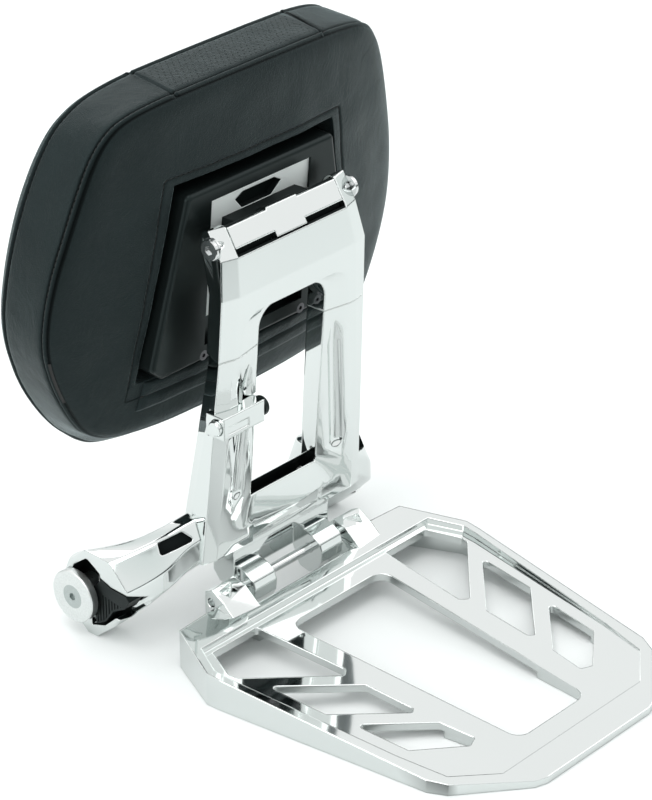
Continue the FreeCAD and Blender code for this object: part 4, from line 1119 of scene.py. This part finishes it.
def slope_bar(point):
    """Lets the foot bar's top fall away forward and thins the front of the legs' inner walls."""
    on_top = abs(point.x) < LEG_IN + 0.5 and abs(point.z - BAR_TOP) < 0.3
    if on_top and point.y > BAR_BEHIND:
        point.z -= BAR_FALL * (point.y - BAR_BEHIND)
    front = WALL_FRONT + WALL_RAKE * (WALL_TOP - point.z)
    on_leg = point.z > BAR_TOP + 0.5 or abs(point.x) > LEG_IN - 0.2
    if on_leg and point.y > front and point.z > LEG_FOOT:
        kept = WALL_KEPT + (1 - WALL_KEPT) * ease((abs(point.x) - LEG_IN) / LEG_WIDTH)
        point.y = front + kept * (point.y - front)
    return point


def ease_axle(point):
    """Takes a running clearance off the axle inside the barrel."""
    across = Vector((0.0, point.y - PIVOT[0], point.z - PIVOT[1]))
    return point - across.normalized() * AXLE_EASE


RESHAPED = {
    "lower_frame": ("lower_casting", "frame_lower", slope_bar),
    "tilt_axle": ("pivot_axle", "frame_upper", ease_axle),
}


def reshaped(node, slot):
    """Merged copy of a casting with its corners moved, in the casting's place."""
    name, body, change = RESHAPED[node]
    build = bmesh.new()
    build.from_mesh(frame["nodes"][node].data)
    bmesh.ops.remove_doubles(build, verts=build.verts, dist=1e-6)
    for vert in build.verts:
        vert.co = place(*change(drawn(vert.co)))
    mesh = bpy.data.meshes.new(name)
    build.to_mesh(mesh)
    build.free()
    for polygon in mesh.polygons:
        polygon.use_smooth = True
    mesh.set_sharp_from_angle(angle=math.radians(SHARP_ANGLE))
    obj = linked(name, mesh)
    settle(obj, finish_of(slot), body)
    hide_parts(node)
    return obj


# Studio


def maths(tree, operation, *values):
    """Result of a sum, a product or the like, of sockets and numbers."""
    node = add(tree, "ShaderNodeMath", operation=operation)
    for socket, value in zip(node.inputs, values):
        if isinstance(value, (int, float)):
            socket.default_value = value
        else:
            tree.links.new(value, socket)
    return node.outputs["Value"]


def smooth(tree, value, low, high, most=1.0):
    """Smooth step of a value between two limits, from 0 to the most."""
    node = add(tree, "ShaderNodeMapRange", interpolation_type="SMOOTHSTEP")
    node.inputs["From Min"].default_value = low
    node.inputs["From Max"].default_value = high
    node.inputs["To Max"].default_value = most
    tree.links.new(value, node.inputs["Value"])
    return node.outputs["Result"]


def mixed(tree, factor, first, second):
    """Blend of two shaders."""
    node = tree.nodes.new("ShaderNodeMixShader")
    tree.links.new(factor, node.inputs["Fac"])
    tree.links.new(first, node.inputs[1])
    tree.links.new(second, node.inputs[2])
    return node.outputs["Shader"]


def horizon_band(tree):
    """White surroundings with a dark band along the horizon, as the metal mirrors them."""
    where = tree.nodes.new("ShaderNodeTexCoord")
    parts = tree.nodes.new("ShaderNodeSeparateXYZ")
    tree.links.new(where.outputs["Generated"], parts.inputs["Vector"])
    return ramp(tree, maths(tree, "MULTIPLY_ADD", parts.outputs["Z"], 0.5, 0.5), HORIZON)


def floor_shade(tree, where):
    """How dark the painted reflection of the floor is in the metal, 0 to 1, with painted shade close to
    the object.
    """
    parts = tree.nodes.new("ShaderNodeSeparateXYZ")
    tree.links.new(where, parts.inputs["Vector"])
    length = add(tree, "ShaderNodeVectorMath", operation="LENGTH")
    tree.links.new(where, length.inputs[0])
    away = length.outputs["Value"]
    far = smooth(tree, away, *FAR_FLOOR)
    east = maths(tree, "MULTIPLY", parts.outputs["X"], STRIP_WAY[0])
    north = maths(tree, "MULTIPLY", parts.outputs["Y"], STRIP_WAY[1])
    toward = maths(tree, "DIVIDE", maths(tree, "ADD", east, north), away)
    sector = smooth(tree, toward, *(math.cos(math.radians(half)) for half in STRIP_HALF))
    strip = maths(tree, "MULTIPLY", sector, smooth(tree, away, *STRIP_FROM))
    reach = add(tree, "ShaderNodeVectorMath", operation="DISTANCE")
    reach.inputs[1].default_value = NEAR_MIDDLE
    tree.links.new(where, reach.inputs[0])
    # Painted shade on the floor close to the object, seen only in the metal
    near = smooth(tree, reach.outputs["Value"], *NEAR_FLOOR, NEAR_SHADE)
    both = maths(tree, "MAXIMUM", far, maths(tree, "MAXIMUM", strip, near))
    return maths(tree, "MAXIMUM", both, LEAST_SHADE)


def add_floor():
    """Pale floor that holds the object's shadow, with a darker painted reflection that only the metal
    sees.
    """
    mesh = bpy.data.meshes.new("floor")
    corners = [(FLOOR_HALF * x, FLOOR_HALF * y, 0) for x, y in ((-1, -1), (1, -1), (1, 1), (-1, 1))]
    mesh.from_pydata(corners, [], [(0, 1, 2, 3)])
    floor = linked("floor", mesh)
    floor.location.z = -FLOOR_DROP
    mat, tree, shader = new_material("Pale floor")
    shader.inputs["Roughness"].default_value = 0.9
    shader.inputs["Specular IOR Level"].default_value = 0.1
    where = tree.nodes.new("ShaderNodeTexCoord").outputs["Object"]
    path = tree.nodes.new("ShaderNodeLightPath")
    # Painted reflection: only glossy rays see the floor's darker colour
    amount = maths(tree, "MULTIPLY", floor_shade(tree, where), path.outputs["Is Glossy Ray"])
    shade = ramp(tree, amount, [(0.0, FLOOR_COLOUR), (1.0, PAINTED_REFLECTION_DARK)])
    tree.links.new(shade, shader.inputs["Base Color"])
    dress(floor, mat)


def add_world(daylight):
    """White background, soft daylight, and the band that the metal mirrors."""
    world = bpy.data.worlds.new("Pale studio")
    world.use_nodes = True
    tree = world.node_tree
    tree.nodes.clear()
    out = tree.nodes.new("ShaderNodeOutputWorld")
    light = add(tree, "ShaderNodeBackground", Color=(0.96, 1.0, 0.99, 1.0), Strength=daylight)
    seen = add(tree, "ShaderNodeBackground", Color=(1.0, 1.0, 1.0, 1.0), Strength=1.0)
    metal = add(tree, "ShaderNodeBackground", Strength=1.0)
    tree.links.new(horizon_band(tree), metal.inputs["Color"])
    path = tree.nodes.new("ShaderNodeLightPath").outputs
    bright = maths(tree, "MAXIMUM", path["Is Glossy Ray"], path["Is Transmission Ray"])
    unseen = mixed(tree, bright, light.outputs["Background"], metal.outputs["Background"])
    whole_sky = mixed(tree, path["Is Camera Ray"], unseen, seen.outputs["Background"])
    tree.links.new(whole_sky, out.inputs["Surface"])
    bpy.context.scene.world = world


def add_lamps():
    """Soft square lamps that all point at the object."""
    for name, spot, size, power in LAMPS:
        lamp = bpy.data.lights.new(name, "AREA")
        lamp.shape = "SQUARE"
        lamp.size = size
        lamp.energy = power
        obj = linked(name, lamp)
        obj.location = spot
        obj.rotation_euler = (Vector(AIM) - Vector(spot)).to_track_quat("-Z", "Y").to_euler()


def add_camera(stage):
    """Camera at the photograph's angle."""
    camera = bpy.data.cameras.new("Camera")
    camera.lens = stage.lens
    camera.sensor_width = 36.0
    camera.clip_end = 20.0
    obj = linked("Camera", camera)
    obj.location = place(*CAMERA_AT)
    obj.rotation_euler = (math.pi / 2 - stage.elevation, 0.0, stage.azimuth)
    bpy.context.scene.camera = obj


# Settings


class BackrestLooks(bpy.types.PropertyGroup):
    """Colours and surface of the backrest"""

    plating: FloatVectorProperty(
        name="Plating", description="Colour of the bright plating", subtype="COLOR",
        default=(0.80, 0.835, 0.825),
    )
    plating_haze: FloatProperty(
        name="Plating haze", description="Roughness of the plating", subtype="FACTOR",
        default=0.03, min=0.0, max=1.0,
    )
    edge_round: FloatProperty(
        name="Edge rounding", description="Radius at the castings' edges", unit="LENGTH", default=0.0013,
    )
    leather: FloatVectorProperty(
        name="Leather", description="Colour of the cover", subtype="COLOR",
        default=(0.0065, 0.0095, 0.0100),
    )
    leather_roughness: FloatProperty(
        name="Leather roughness", description="Roughness of the cover", subtype="FACTOR",
        default=0.36, min=0.0, max=1.0,
    )


class BackrestSewing(bpy.types.PropertyGroup):
    """Sizes of the stitches and the perforations"""

    spacing: FloatProperty(
        name="Spacing", description="Distance from stitch to stitch", unit="LENGTH",
        default=STITCH_SPACING,
    )
    length: FloatProperty(
        name="Length", description="Length of a stitch", unit="LENGTH",
        default=STITCH_LENGTH,
    )
    radius: FloatProperty(
        name="Thread radius", description="Radius of the thread", unit="LENGTH",
        default=THREAD_RADIUS,
    )
    hole_radius: FloatProperty(
        name="Hole radius", description="Radius of a hole of the top panel", unit="LENGTH",
        default=HOLE_RADIUS,
    )


class BackrestStage(bpy.types.PropertyGroup):
    """Camera and light"""

    lens: FloatProperty(
        name="Lens", description="Focal length of the camera", subtype="DISTANCE_CAMERA", default=146.25,
    )
    azimuth: FloatProperty(
        name="Azimuth", description="Direction of the camera", subtype="ANGLE",
        default=math.radians(-47.95),
    )
    elevation: FloatProperty(
        name="Elevation", description="Height of the camera's view", subtype="ANGLE",
        default=math.radians(28.17),
    )
    daylight: FloatProperty(
        name="Daylight", description="Strength of the pale surroundings", subtype="FACTOR",
        default=0.95, min=0.0,
    )


# Operators


class BACKREST_OT_castings(bpy.types.Operator):
    """Finishes every rigid piece of the frame"""

    bl_idname = "backrest.castings"
    bl_label = "Finish the rigid pieces"

    def execute(self, context):
        slots = {part["node"]: part["material_slot"] for part in frame["record"]["subparts"]}
        for node, obj in frame["nodes"].items():
            finish = slots[node]
            if node.endswith("dock_disc"):
                finish = "disc_face"
            if node.endswith("disc_bolt"):
                finish = "disc_screw"
            dress(obj, finish_of(finish))
            if node in RESHAPED:
                obj = reshaped(node, slots[node])
            # Painted shade on the faces in the casting's hollows
            if node in HOLLOWS:
                shade_hollows(obj, HOLLOWS[node])
        return {"FINISHED"}


class BACKREST_OT_cushion(bpy.types.Operator):
    """Makes the leather cushion"""

    bl_idname = "backrest.cushion"
    bl_label = "Make the cushion"

    def execute(self, context):
        verts, faces, groove_shades = make_cushion_mesh(pad_shape())
        cover = finish_of("black_leather")
        pad = new_piece("cushion_cover", verts, faces, cover, "pad")
        # Painted shade in the seams' grooves, one value for each vertex
        mark_groove_shade(pad, groove_shades)
        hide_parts("pad_cushion")
        return {"FINISHED"}


class BACKREST_OT_stitches(bpy.types.Operator):
    """Sews the stitches along the cushion's seams"""

    bl_idname = "backrest.stitches"
    bl_label = "Sew the stitches"

    def execute(self, context):
        shape = pad_shape()
        sewing = context.scene.backrest_sewing
        lines = [
            (shape.gusset_row(-STITCH_IN), True),
            (shape.gusset_row(STITCH_IN), True),
            (shape.border_row(), False),
            (shape.band_row(), False),
        ]
        sizes = {"Spacing": sewing.spacing, "Length": sewing.length, "Radius": sewing.radius}
        mesh = line_mesh("stitch lines", lines)
        grown("cover_stitches", mesh, stitch_tree(), sizes, "pad", finish_of("thread"))
        return {"FINISHED"}


class BACKREST_OT_bands(bpy.types.Operator):
    """Makes the two sewn bands below the cut-out"""

    bl_idname = "backrest.bands"
    bl_label = "Make the sewn bands"

    def execute(self, context):
        verts, faces = make_band_mesh(pad_shape())
        band = new_piece("sewn_bands", verts, faces, finish_of("strap_leather"), "pad")
        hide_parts("pad_strap")
        return {"FINISHED"}


class BACKREST_OT_tag(bpy.types.Operator):
    """Makes the bare tag in the side seam"""

    bl_idname = "backrest.tag"
    bl_label = "Make the tag"

    def execute(self, context):
        verts, faces = make_tag_mesh(pad_shape())
        new_piece("bare_tag", verts, faces, finish_of("tag_black"), "pad")
        return {"FINISHED"}


class BACKREST_OT_perforations(bpy.types.Operator):
    """Sets dark dots of painted shade at the holes of the top panel"""

    bl_idname = "backrest.perforations"
    bl_label = "Prick the top panel"

    def execute(self, context):
        sizes = {"Radius": context.scene.backrest_sewing.hole_radius}
        mesh = make_hole_points(pad_shape())
        # Painted shade: dark dots stand for the shade inside the holes
        dark = finish_of("shadow_black")
        grown("top_panel_hole_shade", mesh, hole_tree(), sizes, "pad", dark)
        return {"FINISHED"}


class BACKREST_OT_stage(bpy.types.Operator):
    """Sets the floor, the light and the camera"""

    bl_idname = "backrest.stage"
    bl_label = "Set the stage"

    def execute(self, context):
        stage = context.scene.backrest_stage
        add_floor()
        add_world(stage.daylight)
        add_lamps()
        add_camera(stage)
        context.scene.view_settings.view_transform = "Standard"
        return {"FINISHED"}


class BACKREST_PT_panel(bpy.types.Panel):
    """Settings and steps of the backrest"""

    bl_idname = "BACKREST_PT_panel"
    bl_label = "Driver Backrest"
    bl_space_type = "VIEW_3D"
    bl_region_type = "UI"
    bl_category = "Backrest"

    def draw(self, context):
        """Lists every setting and every step."""
        scene = context.scene
        for group in (scene.backrest_looks, scene.backrest_sewing, scene.backrest_stage):
            box = self.layout.box()
            for key in group.__annotations__:
                box.prop(group, key)
        for step in STEPS:
            self.layout.operator(step.bl_idname)


GROUPS = (BackrestLooks, BackrestSewing, BackrestStage)
STEPS = (
    BACKREST_OT_castings,
    BACKREST_OT_cushion,
    BACKREST_OT_stitches,
    BACKREST_OT_bands,
    BACKREST_OT_tag,
    BACKREST_OT_perforations,
    BACKREST_OT_stage,
)


def register():
    """Registers the settings, the steps and the panel."""
    for item in GROUPS + STEPS + (BACKREST_PT_panel,):
        bpy.utils.register_class(item)
    bpy.types.Scene.backrest_looks = PointerProperty(type=BackrestLooks)
    bpy.types.Scene.backrest_sewing = PointerProperty(type=BackrestSewing)
    bpy.types.Scene.backrest_stage = PointerProperty(type=BackrestStage)


def unregister():
    """Takes them away again."""
    del bpy.types.Scene.backrest_stage
    del bpy.types.Scene.backrest_sewing
    del bpy.types.Scene.backrest_looks
    for item in reversed(GROUPS + STEPS + (BACKREST_PT_panel,)):
        bpy.utils.unregister_class(item)


def main():
    """Makes every piece and the stage."""
    register()
    bpy.ops.backrest.castings()
    bpy.ops.backrest.cushion()
    bpy.ops.backrest.stitches()
    bpy.ops.backrest.bands()
    bpy.ops.backrest.tag()
    bpy.ops.backrest.perforations()
    bpy.ops.backrest.stage()


if __name__ == "__main__":
    main()
